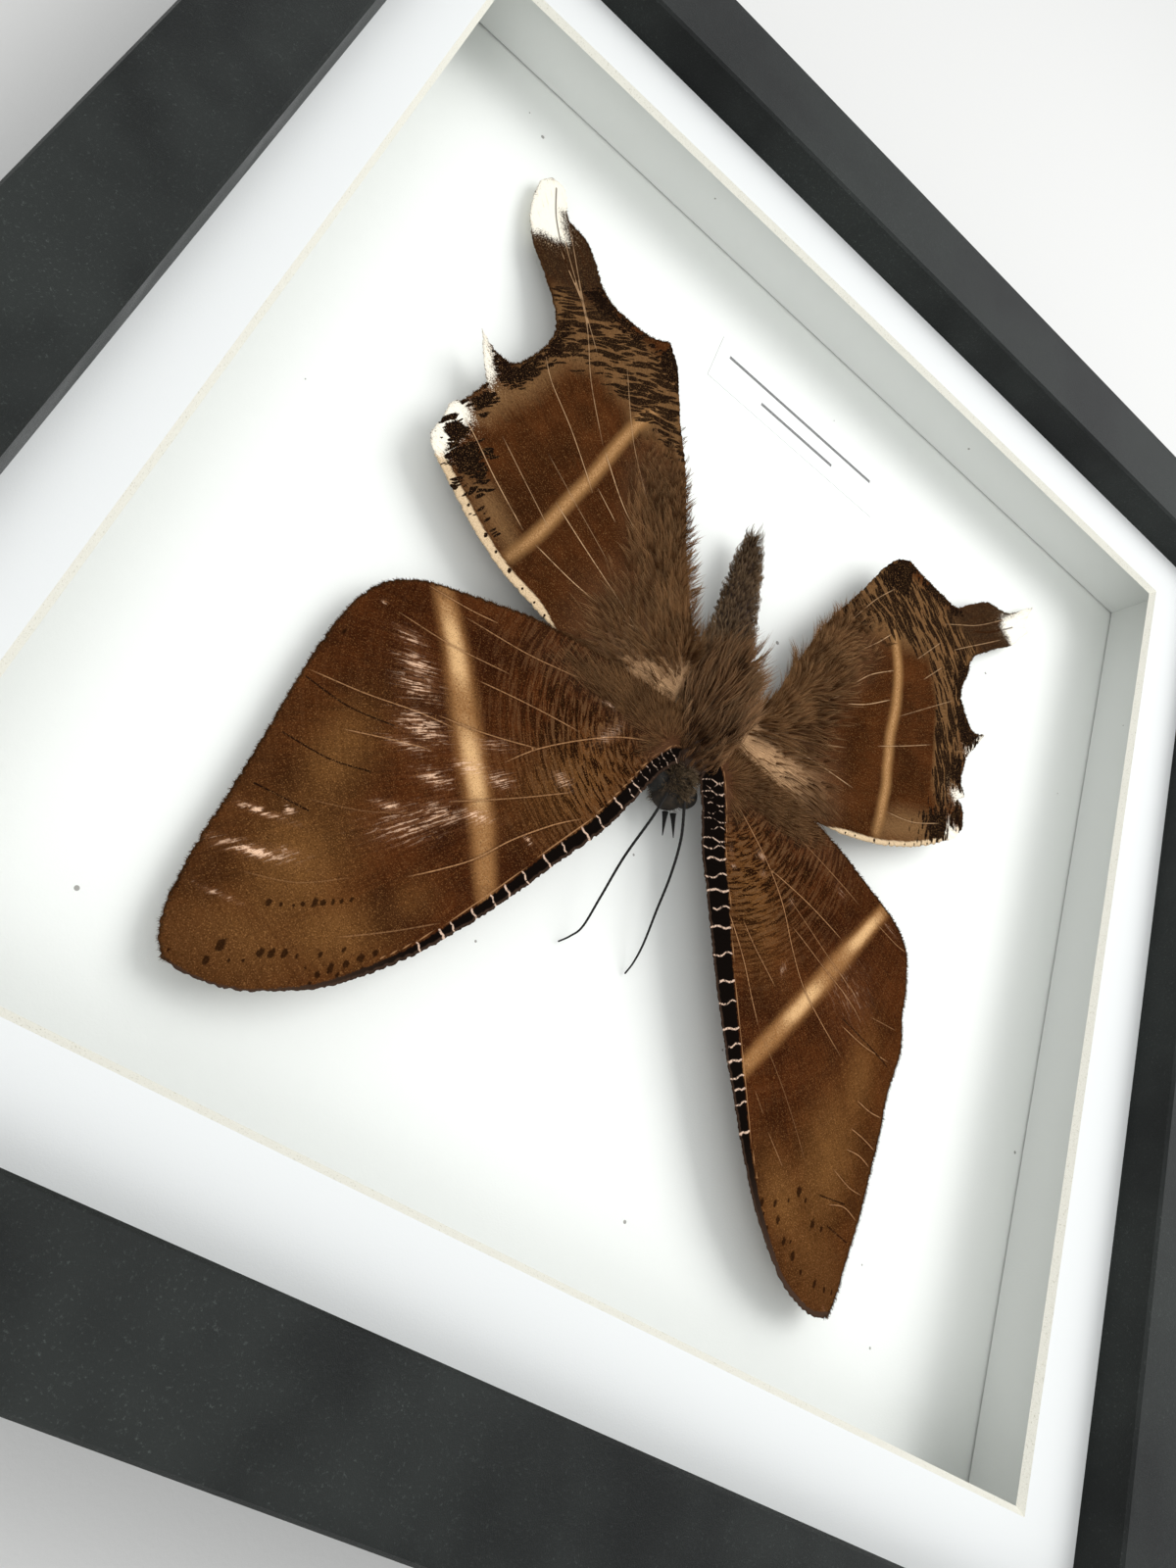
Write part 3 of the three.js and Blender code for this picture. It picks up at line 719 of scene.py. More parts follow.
    def _lay_margin(self, s: ScaleSheet, jag: Socket) -> None:
        """Lays the white patches, the black ones beside them and the small spots.

        Args:
            s: The wing's sheet.
            jag: The noise that makes the patches jagged.
        """
        pale = s.attribute("white")
        s.lay(s.times(s.rise(pale, -5.0, -0.2), s.rise(s.dust, 0.6, 0.72), 0.7), self.cream)
        white = s.rise(s.add(pale, s.times(jag, 0.6), s.jitter(s.dust, 5.0)), -1.3, 0.7)
        s.lay(s.times(white, s.rise(s.grain, 0.15, 0.45, 0.8, 1.0)), self.white)
        s.lay(s.times(white, s.rise(s.streak, 0.56, 0.66), 0.35), self.cream)
        ragged = self._strokes(s, s.spot, self.hatch_turn, jag, 0.6)
        black = s.add(s.attribute("black"), s.times(jag, 0.5), s.times(ragged, 1.3), -0.75)
        black = s.rise(black, -0.15, 0.15)
        s.lay(black, self.black)
        s.lay(s.times(black, s.rise(s.dust, 0.62, 0.75), 0.5), self.dust)
        s.lay(s.rise(s.add(s.attribute("spot"), s.jitter(s.grain, 0.8)), 1.1, 0.8), self.black)

    def _lay_veins(self, s: ScaleSheet) -> None:
        """Lays the veins, the loose scales and the dark edge.

        Args:
            s: The wing's sheet.
        """
        chips = s.noise(s.spot, 0.6, 3, 0.7)
        line, show, pale = s.attribute("vein"), s.attribute("vein_show"), s.attribute("white")
        s.lay(s.times(s.rise(line, 0.42, 0.16), show, 0.4), self.dark)
        s.lay(s.times(s.rise(line, 0.13, 0.05), show, s.rise(chips, 0.3, 0.55, 0.4, 1.0)), self.vein)
        s.lay(s.rise(s.attribute("vein_dark"), 0.28, 0.05, 0.0, 0.8), self.dark)
        off_tail = s.rise(s.attribute("tail"), 1.0, 0.0, 0.12, 0.42)
        s.lay(s.times(s.rise(s.dust, 0.57, 0.74), off_tail), self.band)
        s.lay(s.times(s.rise(s.dust, 0.42, 0.25), s.rise(pale, 0.3, -0.3), 0.35), self.dark)
        edge = s.rise(s.add(s.attribute("edge"), s.times(s.grain, 0.5)), 0.7, 0.25, 0.0, 0.25)
        s.lay(s.times(edge, s.rise(pale, 0.6, -0.3)), self.black)

    def build(self) -> bpy.types.Material:
        """Lays the scales of one hindwing.

        Returns:
            The material.
        """
        s = ScaleSheet(self.name, self.dark, dust=5.0, fine=(2.0, 2.0), cloud=(0.12, 4, 0.6),
                       streak=(0.12, 2.4, 1.4))
        feather = s.along((0.45, 3.0), 0.9, 4, 0.75)
        jag = s.jitter(feather, 4.5)
        zone = s.add(s.attribute("dash"), s.times(jag, 0.12))
        self._lay_ground(s, feather)
        self._lay_band(s, jag, zone)
        self._lay_tail(s, jag, zone)
        self._lay_margin(s, jag)
        self._lay_veins(s)
        height = s.add(s.times(s.fine, 0.4), s.times(s.grain, 0.35), s.times(s.streak, 0.7))
        return s.end(height, (0.5, 0.68))


@dataclass(frozen=True)
class TablePaper:
    """The plain pale table that the frame lies on."""

    face: Colour = paint(212, 212, 210)

    def build(self) -> bpy.types.Material:
        """Mixes the table's surface.

        Returns:
            The material.
        """
        sheet = NodeSheet("table_paper")
        tooth = sheet.noise(sheet.place(), 1.5, 4, 0.6)
        return sheet.finish(self.face, 0.8, sheet.bump(tooth, 0.0001, 0.3), Specular_IOR_Level=0.2)


def spline(run: Sequence[Sequence[float]], per_step: int = 10) -> np.ndarray:
    """A smooth line through the points of a run.

    Args:
        run: The points, in two or more dimensions.
        per_step: How many pieces each step between two points gets.

    Returns:
        The points of the line, both ends among them.
    """
    knots = np.array(run, float)
    before = np.vstack([knots[:1], knots[:-2]]) if len(knots) > 2 else knots[:1]
    after = np.vstack([knots[2:], knots[-1:]]) if len(knots) > 2 else knots[-1:]
    share = np.arange(per_step)[None, :, None] / per_step
    start, end = knots[:-1, None], knots[1:, None]
    lead = (knots[1:] - before)[:, None] / 2
    tail = (after - knots[:-1])[:, None] / 2
    line = ((2 * start - 2 * end + lead + tail) * share**3
            + (-3 * start + 3 * end - 2 * lead - tail) * share**2 + lead * share + start)
    return np.vstack([line.reshape(-1, knots.shape[1]), knots[-1:]])


def close(line: np.ndarray) -> np.ndarray:
    """A line that ends at its own start."""
    return np.vstack([line, line[:1]])


def even_points(line: np.ndarray, pieces: Callable[[float], int], whole: bool = True) -> np.ndarray:
    """Spreads points evenly along a line in the plane.

    Args:
        line: The line's points.
        pieces: How many points a line of a given length gets.
        whole: Whether the line's last point is kept.

    Returns:
        The points.
    """
    run = np.concatenate([[0], np.cumsum(np.hypot(*np.diff(line, axis=0).T))])
    stops = np.linspace(0, run[-1], pieces(run[-1]), endpoint=whole)
    return np.column_stack([np.interp(stops, run, line[:, i]) for i in (0, 1)])


def line_distance(points: np.ndarray, line: np.ndarray) -> tuple[np.ndarray, np.ndarray, np.ndarray]:
    """How far points are from a line.

    Args:
        points: The points in the plane, one a row.
        line: The line's points.

    Returns:
        The distance, the nearest place as a share of the line, and the way there from each point.
    """
    steps = np.diff(line, axis=0)
    lengths = np.maximum(np.hypot(*steps.T), 1e-9)
    run = np.concatenate([[0], np.cumsum(lengths)])
    best, along = np.full(len(points), 1e12), np.zeros(len(points))
    way = np.zeros((len(points), 2))
    for (x, y), (dx, dy), length, start in zip(line, steps, lengths, run):
        px, py = x - points[:, 0], y - points[:, 1]
        share = np.clip(-(px * dx + py * dy) / length**2, 0, 1)
        px, py = px + share * dx, py + share * dy
        gap = px * px + py * py
        near = np.flatnonzero(gap < best)
        best[near], along[near] = gap[near], start + share[near] * length
        way[near, 0], way[near, 1] = px[near], py[near]
    return np.sqrt(best), along / run[-1], way


def inside(points: np.ndarray, outline: np.ndarray) -> np.ndarray:
    """Finds whether each point lies inside a closed outline.

    Args:
        points: The points in frame x and y, one a row.
        outline: The outline's corners in order.

    Returns:
        True for each point inside.
    """
    odd = np.zeros(len(points), bool)
    for (x, y), (end_x, end_y) in zip(outline, np.roll(outline, -1, axis=0)):
        if y != end_y:
            crosses = (y > points[:, 1]) != (end_y > points[:, 1])
            odd ^= crosses & (points[:, 0] < x + (points[:, 1] - y) / (end_y - y) * (end_x - x))
    return odd


def patch_depth(points: np.ndarray, patches: Iterable[Sequence[Point]]) -> np.ndarray:
    """Finds how deep each point lies inside the nearest of some patches.

    Args:
        points: The points in frame x and y, one a row.
        patches: The outline of each patch.

    Returns:
        The depths, below 0 outside all patches.
    """
    depth = np.full(len(points), -50.0)
    for patch in patches:
        outline = np.array(patch, float)
        gap = line_distance(points, close(outline))[0]
        depth = np.maximum(depth, np.where(inside(points, outline), gap, -gap))
    return depth


def soft_spots(points: np.ndarray, spots: Iterable[Sequence[float]]) -> np.ndarray:
    """Draws soft round or long spots.

    Args:
        points: The points in frame x and y, one a row.
        spots: For each spot its middle's x and y, its two radii and its turn in degrees.

    Returns:
        A mask from 0 to 1 at each point.
    """
    mask = np.zeros(len(points))
    for x, y, long, wide, turn in spots:
        angle = math.radians(turn)
        dx, dy = points[:, 0] - x, points[:, 1] - y
        u = (dx * math.cos(angle) + dy * math.sin(angle)) / long
        v = (-dx * math.sin(angle) + dy * math.cos(angle)) / wide
        mask = np.maximum(mask, np.exp(-(u * u + v * v)))
    return mask


def make_mesh(name: str, points: np.ndarray | Sequence[Sequence[float]],
              faces: Sequence[Sequence[int]] | np.ndarray) -> bpy.types.Object:
    """Makes a mesh object in the scene.

    Args:
        name: The piece's name.
        points: Its points in metres.
        faces: The numbers of each face's points.

    Returns:
        The new object.
    """
    mesh = bpy.data.meshes.new(name)
    mesh.from_pydata([tuple(p) for p in np.asarray(points, float)], [], [tuple(map(int, f)) for f in faces])
    mesh.update()
    made = bpy.data.objects.new(name, mesh)
    bpy.context.scene.collection.objects.link(made)
    return made


def keep_numbers(piece: bpy.types.Object, numbers: dict[str, np.ndarray]) -> None:
    """Keeps a number or a vector for each point of a mesh as attributes.

    Args:
        piece: The mesh object.
        numbers: The numbers of all points, by the attribute's name.
    """
    for name, values in numbers.items():
        kind = "FLOAT_VECTOR" if values.ndim == 2 else "FLOAT"
        store = piece.data.attributes.new(name, kind, "POINT")
        store.data.foreach_set("vector" if values.ndim == 2 else "value", values.astype(np.float32).ravel())


def smooth_shade(piece: bpy.types.Object) -> None:
    """Shades a mesh smooth."""
    piece.data.polygons.foreach_set("use_smooth", [True] * len(piece.data.polygons))


def dress(piece: bpy.types.Object, material: bpy.types.Material) -> None:
    """Gives a piece its only material."""
    piece.data.materials.clear()
    piece.data.materials.append(material)


def join_root(piece: bpy.types.Object, slot: str, *nodes: str) -> None:
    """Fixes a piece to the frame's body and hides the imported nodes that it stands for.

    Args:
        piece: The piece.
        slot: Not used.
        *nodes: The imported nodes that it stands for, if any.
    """
    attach(piece, "root")
    if nodes:
        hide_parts(*nodes)
    log.info("%s: %d faces", piece.name, len(piece.data.polygons))


def strand_mesh(name: str, rings: int, bulge: float, roots: Sequence[Point] = ((0, 0),)) -> bpy.types.Object:
    """A lock of three-sided hairs of length 1 and width 1 that rises along Z and bows out along X.

    Args:
        name: The object's name.
        rings: How many rings of corners each hair has below its tip.
        bulge: How far the lock bows out, in widths.
        roots: Where each hair of the lock starts, in widths; they close up towards the tip.

    Returns:
        The lock, which is removed once the coats have grown.
    """
    points, tips = [], []
    faces: list[tuple[int, ...]] = []
    shorter, closing, taper = 0.13, 0.85, 0.6
    for number, (root_x, root_y) in enumerate(roots):
        base, long = len(points), 1.0 - shorter * number
        for ring in range(rings + 1):
            share = ring / rings
            radius = 0.5 * (1 - share) ** taper
            x = 4 * bulge * (share - share**2) + root_x * (1 - closing * share)
            y = root_y * (1 - closing * share)
            for corner in range(3 if ring < rings else 1):
                angle = corner * 2 * math.pi / 3
                points.append((x + radius * math.cos(angle), y + radius * math.sin(angle), share * long))
                tips.append(share)
        faces.append((base + 2, base + 1, base))
        for ring in range(rings):
            for corner in range(3):
                a, b = base + ring * 3 + corner, base + ring * 3 + (corner + 1) % 3
                faces.append((a, b, b + 3, a + 3) if ring < rings - 1 else (a, b, base + 3 * rings))
    strand = make_mesh(name, np.array(points), faces)
    keep_numbers(strand, {"tip": np.array(tips)})
    smooth_shade(strand)
    return strand


@dataclass
class Coat:
    """One coat of hair: hairs to a square metre, their width in metres and how loosely they lie."""

    strand: bpy.types.Object
    material: bpy.types.Material
    density: float
    width: float
    scatter: float
    seed: int


class HairTree:
    """A Geometry Nodes tree that grows hairs from a mesh.

    The mesh holds three attributes: growth, the share of the full density; comb, the way the hairs lie; and
    reach, their length in metres.
    """

    def __init__(self) -> None:
        """Builds the tree."""
        self.tree = bpy.data.node_groups.new("grow_hair", "GeometryNodeTree")
        face = self.tree.interface
        face.new_socket("Geometry", in_out="INPUT", socket_type="NodeSocketGeometry")
        for name, kind in (("Strand", "Object"), ("Material", "Material"), ("Density", "Float"),
                           ("Width", "Float"), ("Scatter", "Float"), ("Seed", "Int")):
            face.new_socket(name, in_out="INPUT", socket_type="NodeSocket" + kind)
        face.new_socket("Geometry", in_out="OUTPUT", socket_type="NodeSocketGeometry")
        self.keys = {i.name: i.identifier for i in face.items_tree if i.in_out == "INPUT"}
        self._wire()

    def _node(self, kind: str, values: dict[str | int, object], **settings: object) -> bpy.types.Node:
        """Adds one node and joins or sets its inputs.

        Args:
            kind: The node's type.
            values: Constants or outputs, by the input's name or number.
            **settings: The node's own properties.

        Returns:
            The new node.
        """
        made = self.tree.nodes.new(kind)
        for name, setting in settings.items():
            setattr(made, name, setting)
        for name, value in values.items():
            if isinstance(value, bpy.types.NodeSocket):
                self.tree.links.new(value, made.inputs[name])
            else:
                made.inputs[name].default_value = value
        return made

    def _stored(self, name: str, kind: str = "FLOAT") -> Socket:
        """Reads an attribute of the mesh.

        Args:
            name: The attribute's name.
            kind: Its type of data.

        Returns:
            Its output.
        """
        kept = self._node("GeometryNodeInputNamedAttribute", {"Name": name}, data_type=kind)
        return kept.outputs["Attribute"]

    def _random(self, low: float, high: float, seed: Socket, shift: int) -> Socket:
        """Draws a random number for each hair.

        Args:
            low: The least value.
            high: The greatest value.
            seed: The coat's seed.
            shift: What is added to the seed.

        Returns:
            The number's output.
        """
        own = self._node("ShaderNodeMath", {0: seed, 1: float(shift)}, operation="ADD").outputs[0]
        found = self._node("FunctionNodeRandomValue", {2: low, 3: high, "Seed": own}, data_type="FLOAT")
        return found.outputs[1]

    def _times(self, first: Socket, second: Socket | float) -> Socket:
        """The product of two numbers."""
        return self._node("ShaderNodeMath", {0: first, 1: second}, operation="MULTIPLY").outputs[0]

    def _wire(self) -> None:
        """Adds the nodes: scatter the points, turn and scale the hairs, then make them one mesh."""
        start = self._node("NodeGroupInput", {}).outputs
        seed = start["Seed"]
        density = self._times(self._stored("growth"), start["Density"])
        points = self._node("GeometryNodeDistributePointsOnFaces",
                            {"Mesh": start["Geometry"], "Density": density, "Seed": seed})
        spread = self._node("FunctionNodeRandomValue", {0: (-1, -1, -1), 1: (1, 1, 1), "Seed": seed},
                            data_type="FLOAT_VECTOR").outputs[0]
        loose = self._node("ShaderNodeVectorMath", {0: spread, "Scale": start["Scatter"]}, operation="SCALE")
        combed = self._stored("comb", "FLOAT_VECTOR")
        comb = self._node("ShaderNodeVectorMath", {0: combed, 1: loose.outputs[0]}, operation="ADD")
        turn = self._node("FunctionNodeAxesToRotation", {0: comb.outputs[0], 1: points.outputs["Normal"]},
                          primary_axis="Z", secondary_axis="X")
        length = self._times(self._stored("reach"), self._random(0.6, 1.15, seed, 3))
        width = self._times(start["Width"], self._random(0.6, 1.3, seed, 5))
        bow = self._times(width, self._random(0.5, 1.5, seed, 7))
        scale = self._node("ShaderNodeCombineXYZ", {0: bow, 1: width, 2: length}).outputs[0]
        toned = self._node("GeometryNodeStoreNamedAttribute",
                           {"Geometry": points.outputs["Points"], "Name": "tone",
                            "Value": self._random(0.0, 1.0, seed, 11)}, data_type="FLOAT", domain="POINT")
        strand = self._node("GeometryNodeObjectInfo", {"Object": start["Strand"]}).outputs["Geometry"]
        hairs = self._node("GeometryNodeInstanceOnPoints",
                           {"Points": toned.outputs[0], "Instance": strand, "Rotation": turn.outputs[0],
                            "Scale": scale})
        real = self._node("GeometryNodeRealizeInstances", {"Geometry": hairs.outputs[0]})
        dressed = self._node("GeometryNodeSetMaterial",
                             {"Geometry": real.outputs[0], "Material": start["Material"]})
        self._node("NodeGroupOutput", {"Geometry": dressed.outputs[0]})

    def grow(self, name: str, soil: bpy.types.Object, coat: Coat) -> bpy.types.Object:
        """Grows a coat of hair and removes the mesh that it grew from.

        Args:
            name: The new piece's name.
            soil: The mesh with the attributes growth, comb and reach.
            coat: The coat's sizes, hair and finish.

        Returns:
            The hairs as one plain mesh.
        """
        modifier = soil.modifiers.new("grow", "NODES")
        modifier.node_group = self.tree
        values = {"Strand": coat.strand, "Material": coat.material, "Density": coat.density,
                  "Width": coat.width, "Scatter": coat.scatter, "Seed": coat.seed}
        for key, value in values.items():
            modifier[self.keys[key]] = value
        view = bpy.context.evaluated_depsgraph_get()
        mesh = bpy.data.meshes.new_from_object(soil.evaluated_get(view))
        mesh.name = name
        hair = bpy.data.objects.new(name, mesh)
        bpy.context.scene.collection.objects.link(hair)
        soil_mesh = soil.data
        bpy.data.objects.remove(soil)
        bpy.data.meshes.remove(soil_mesh)
        return hair


@dataclass
class Wing:
    """One wing: a thin sheet over its outline that keeps its markings as numbers on its points.

    An outline is a chain of smooth runs, each a list of [out from the body, y]. Markings are in frame x, y.
    """

    name: str
    side: Side
    runs: list[list[Point]]
    root: Point
    band: list[Point]
    veins: list[tuple[list[Point], float]]
    dark_veins: list[list[Point]]
    dots: list[tuple[float, float, float]]
    golds: list[tuple[float, ...]]
    body_x: float = 0.5
    spacing: float = 0.36
    vein_step: float = 0.3
    vein_clear: float = 0.17
    edge_clear: float = 0.25
    thickness: float = 0.2
    ragged: float = 0.26
    above_middle: float = 0.1
    droop_from: float = 10.0
    droop_reach: float = 52.0
    vein_height: float = 0.05
    fold_height: float = 0.07
    board_z: float = field(default_factory=lambda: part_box("mount_board")[1].z / MM)

    def height(self, out: np.ndarray, y: np.ndarray) -> np.ndarray:
        """The wing's height above the mount board."""
        raise NotImplementedError

    def marks(self, at: np.ndarray) -> dict[str, np.ndarray]:
        """The numbers that draw the wing's markings, for points in frame x and y."""
        raise NotImplementedError

    def to_frame(self, line: np.ndarray) -> np.ndarray:
        """A line of [out, y] as frame x and y."""
        return np.column_stack([self.body_x + self.side.value * line[:, 0], line[:, 1]])

    def run_line(self, number: int) -> np.ndarray:
        """One run of the outline in frame x and y."""
        return self.to_frame(spline(self.runs[number]))

    def outline(self) -> np.ndarray:
        """Draws the outline in frame x and y, evenly spaced and a little ragged.

        Returns:
            The outline's points in order.
        """
        line = np.vstack([self.run_line(i)[:-1] for i in range(len(self.runs))])
        even = even_points(close(line), lambda length: int(length / (self.spacing * 0.8)), whole=False)
        step = np.roll(even, -1, axis=0) - np.roll(even, 1, axis=0)
        out = np.column_stack([step[:, 1], -step[:, 0]]) / np.hypot(*step.T)[:, None]
        if inside(even[:1] + out[:1] * 0.05, even)[0]:
            out = -out
        rough = [noise.noise(Vector((x * 1.3, y * 1.3, 7.0))) + 0.6 * noise.noise(Vector((x * 4, y * 4, 3.0)))
                 for x, y in even]
        return even + out * (np.minimum(np.array(rough), 0.4)[:, None] - 0.3) * self.ragged

    def ribs(self) -> list[np.ndarray]:
        """Draws the veins, which the sheet takes up so that they stay fine.

        Returns:
            Each vein as a line of evenly spaced points.
        """
        runs = [line for line, _ in self.veins] + self.dark_veins
        return [even_points(spline(run, 6), lambda length: int(length / self.vein_step) + 2) for run in runs]

    def sheet(self) -> tuple[np.ndarray, np.ndarray, np.ndarray]:
        """Lays out the flat sheet in frame x and y.

        Returns:
            The sheet's points, its triangles and its outline.
        """
        edge = self.outline()
        low, high = edge.min(0), edge.max(0)
        rows = np.arange(low[1], high[1], self.spacing * 0.87)
        grid = []
        for number, y in enumerate(rows):
            xs = np.arange(low[0] + (number % 2) * self.spacing / 2, high[0], self.spacing)
            grid.append(np.column_stack([xs, np.full(len(xs), y)]))
        points = np.vstack(grid)
        points = points[inside(points, edge)]
        points = points[line_distance(points, close(edge))[0] > self.spacing * 0.55]
        for rib in self.ribs():
            points = points[line_distance(points, rib)[0] > self.vein_clear]
            rib = rib[inside(rib, edge)]
            rib = rib[line_distance(rib, close(edge))[0] > self.edge_clear]
            points = np.vstack([points, rib])
        points = np.vstack([edge, points])
        ring = [(i, (i + 1) % len(edge)) for i in range(len(edge))]
        flat, _, faces, *_ = geometry.delaunay_2d_cdt([Vector(p) for p in points], ring, [], 1, 1e-6)
        return np.array([tuple(p) for p in flat]), np.array(faces), edge

    def lift(self, at: np.ndarray, marks: dict[str, np.ndarray]) -> np.ndarray:
        """Finds the height of the upper side, with low ridges on the veins and folds between them.

        Args:
            at: The points in frame x and y, one a row.
            marks: The wing's numbers at those points.

        Returns:
            The heights in millimetres of the frame.
        """
        out = (at[:, 0] - self.body_x) * self.side.value
        ridge = np.exp(-((marks["vein"] / 0.3) ** 2)) * marks["vein_show"]
        fold = np.sin(marks["flow"][:, 1] * 0.9) * smooth_step(marks["flow"][:, 0], 12, 40)
        level = self.board_z + self.height(out, at[:, 1]) + self.above_middle
        return level + self.vein_height * ridge + self.fold_height * fold

    def common(self, at: np.ndarray) -> dict[str, np.ndarray]:
        """Works out the numbers that both kinds of wing have.

        Args:
            at: The points in frame x and y, one a row.

        Returns:
            The numbers by name: flow, edge, veins, dots and gold.
        """
        dx, dy = at[:, 0] - self.root[0], at[:, 1] - self.root[1]
        angle = np.arctan2(dy, dx * self.side.value)
        far = np.full(len(at), 1e3)
        show = np.zeros(len(at))
        for line, strength in self.veins:
            gap, share, _ = line_distance(at, spline(line, 6))
            fade = strength * np.clip(np.minimum(share, 1 - share) * 8 + 0.15, 0, 1)
            show = np.where(gap < far, fade, show)
            far = np.minimum(far, gap)
        spot = np.full(len(at), 9.0)
        for x, y, radius in self.dots:
            spot = np.minimum(spot, np.hypot((at[:, 0] - x) * 1.35, (at[:, 1] - y) * 0.8) / radius)
        flow = np.column_stack([np.hypot(dx, dy), angle * 40, np.zeros(len(at))])
        rim, _, self.rim_way = line_distance(at, close(self.edge))
        dark = np.min([line_distance(at, spline(v, 6))[0] for v in self.dark_veins], axis=0)
        return {"flow": flow, "edge": rim, "vein": far, "vein_show": show, "vein_dark": dark, "spot": spot,
                "gold": soft_mask(at, self.golds)}

    def build(self, material: bpy.types.Material) -> None:
        """Builds the wing as a closed sheet and gives it its scales.

        Args:
            material: The wing's scales.
        """
        self.flat, self.faces, self.edge = self.sheet()
        self.numbers = self.marks(self.flat)
        self.top = self.lift(self.flat, self.numbers)
        count = len(self.flat)
        upper = np.column_stack([self.flat, self.top])
        thin = np.minimum(1, 0.3 + self.numbers["edge"] / 0.8)
        lower = np.column_stack([self.flat, self.top - self.thickness * thin])
        walked = np.vstack([self.faces[:, pair] for pair in ([0, 1], [1, 2], [2, 0])])
        _, first, times = np.unique(np.sort(walked, axis=1), axis=0, return_index=True, return_counts=True)
        rim = walked[first[times == 1]]
        faces = [*self.faces.tolist(), *(self.faces[:, ::-1] + count).tolist()]
        faces += [(b, a, a + count, b + count) for a, b in rim.tolist()]
        wing = make_mesh(self.name + "_sheet", np.vstack([upper, lower]) * MM, faces)
        keep_numbers(wing, {name: np.concatenate([v, v]) for name, v in self.numbers.items()})
        smooth_shade(wing)
        dress(wing, material)
        join_root(wing, "wing_brown", self.name)

    def soil(self, growth: np.ndarray, comb: np.ndarray, reach: np.ndarray) -> bpy.types.Object:
        """Makes the part of the upper side that grows hair.

        Args:
            growth: The share of the full density at each point.
            comb: The way the hair lies there.
            reach: The hair's length in millimetres.

        Returns:
            A mesh with the numbers for the hair tree.
        """
        keep = (growth[self.faces] > 0.001).any(1)
        used, faces = np.unique(self.faces[keep], return_inverse=True)
        points = np.column_stack([self.flat, self.top])[used] * MM
        ground = make_mesh(self.name + "_ground", points, faces.reshape(-1, 3))
        keep_numbers(ground, {"growth": growth[used], "comb": comb[used], "reach": reach[used] * MM})
        return ground

    def rim_comb(self) -> np.ndarray:
        """For each point, the way out to the nearest place of the outline."""
        way = self.rim_way / np.maximum(self.numbers["edge"], 0.02)[:, None]
        return np.column_stack([way, np.zeros(len(way))])

    def add_fringe(self, tree: HairTree, coat: Coat, reach: float, share: np.ndarray) -> None:
        """Grows the short fringe of scales along the edge.

        Args:
            tree: The hair tree.
            coat: The fringe's sizes and finish.
            reach: Its length in millimetres.
            share: The share of it at each point.
        """
        growth = smooth_step(self.numbers["edge"], 0.5, 0.1) * share
        if "white" in self.numbers:
            growth = growth * smooth_step(self.numbers["white"], 0.0, -1.2)
        comb = self.rim_comb() + self.radial() * 0.3
        fringe = tree.grow(self.name + "_fringe", self.soil(growth, comb, np.full(len(growth), reach)), coat)
        join_root(fringe, "wing_brown")

    def radial(self) -> np.ndarray:
        """Finds the way from the wing's root through each point.

        Returns:
            A flat vector for each point.
        """
        away = self.flat - np.array(self.root)
        away = away / np.maximum(np.hypot(*away.T), 0.1)[:, None]
        return np.column_stack([away, np.zeros(len(away))])


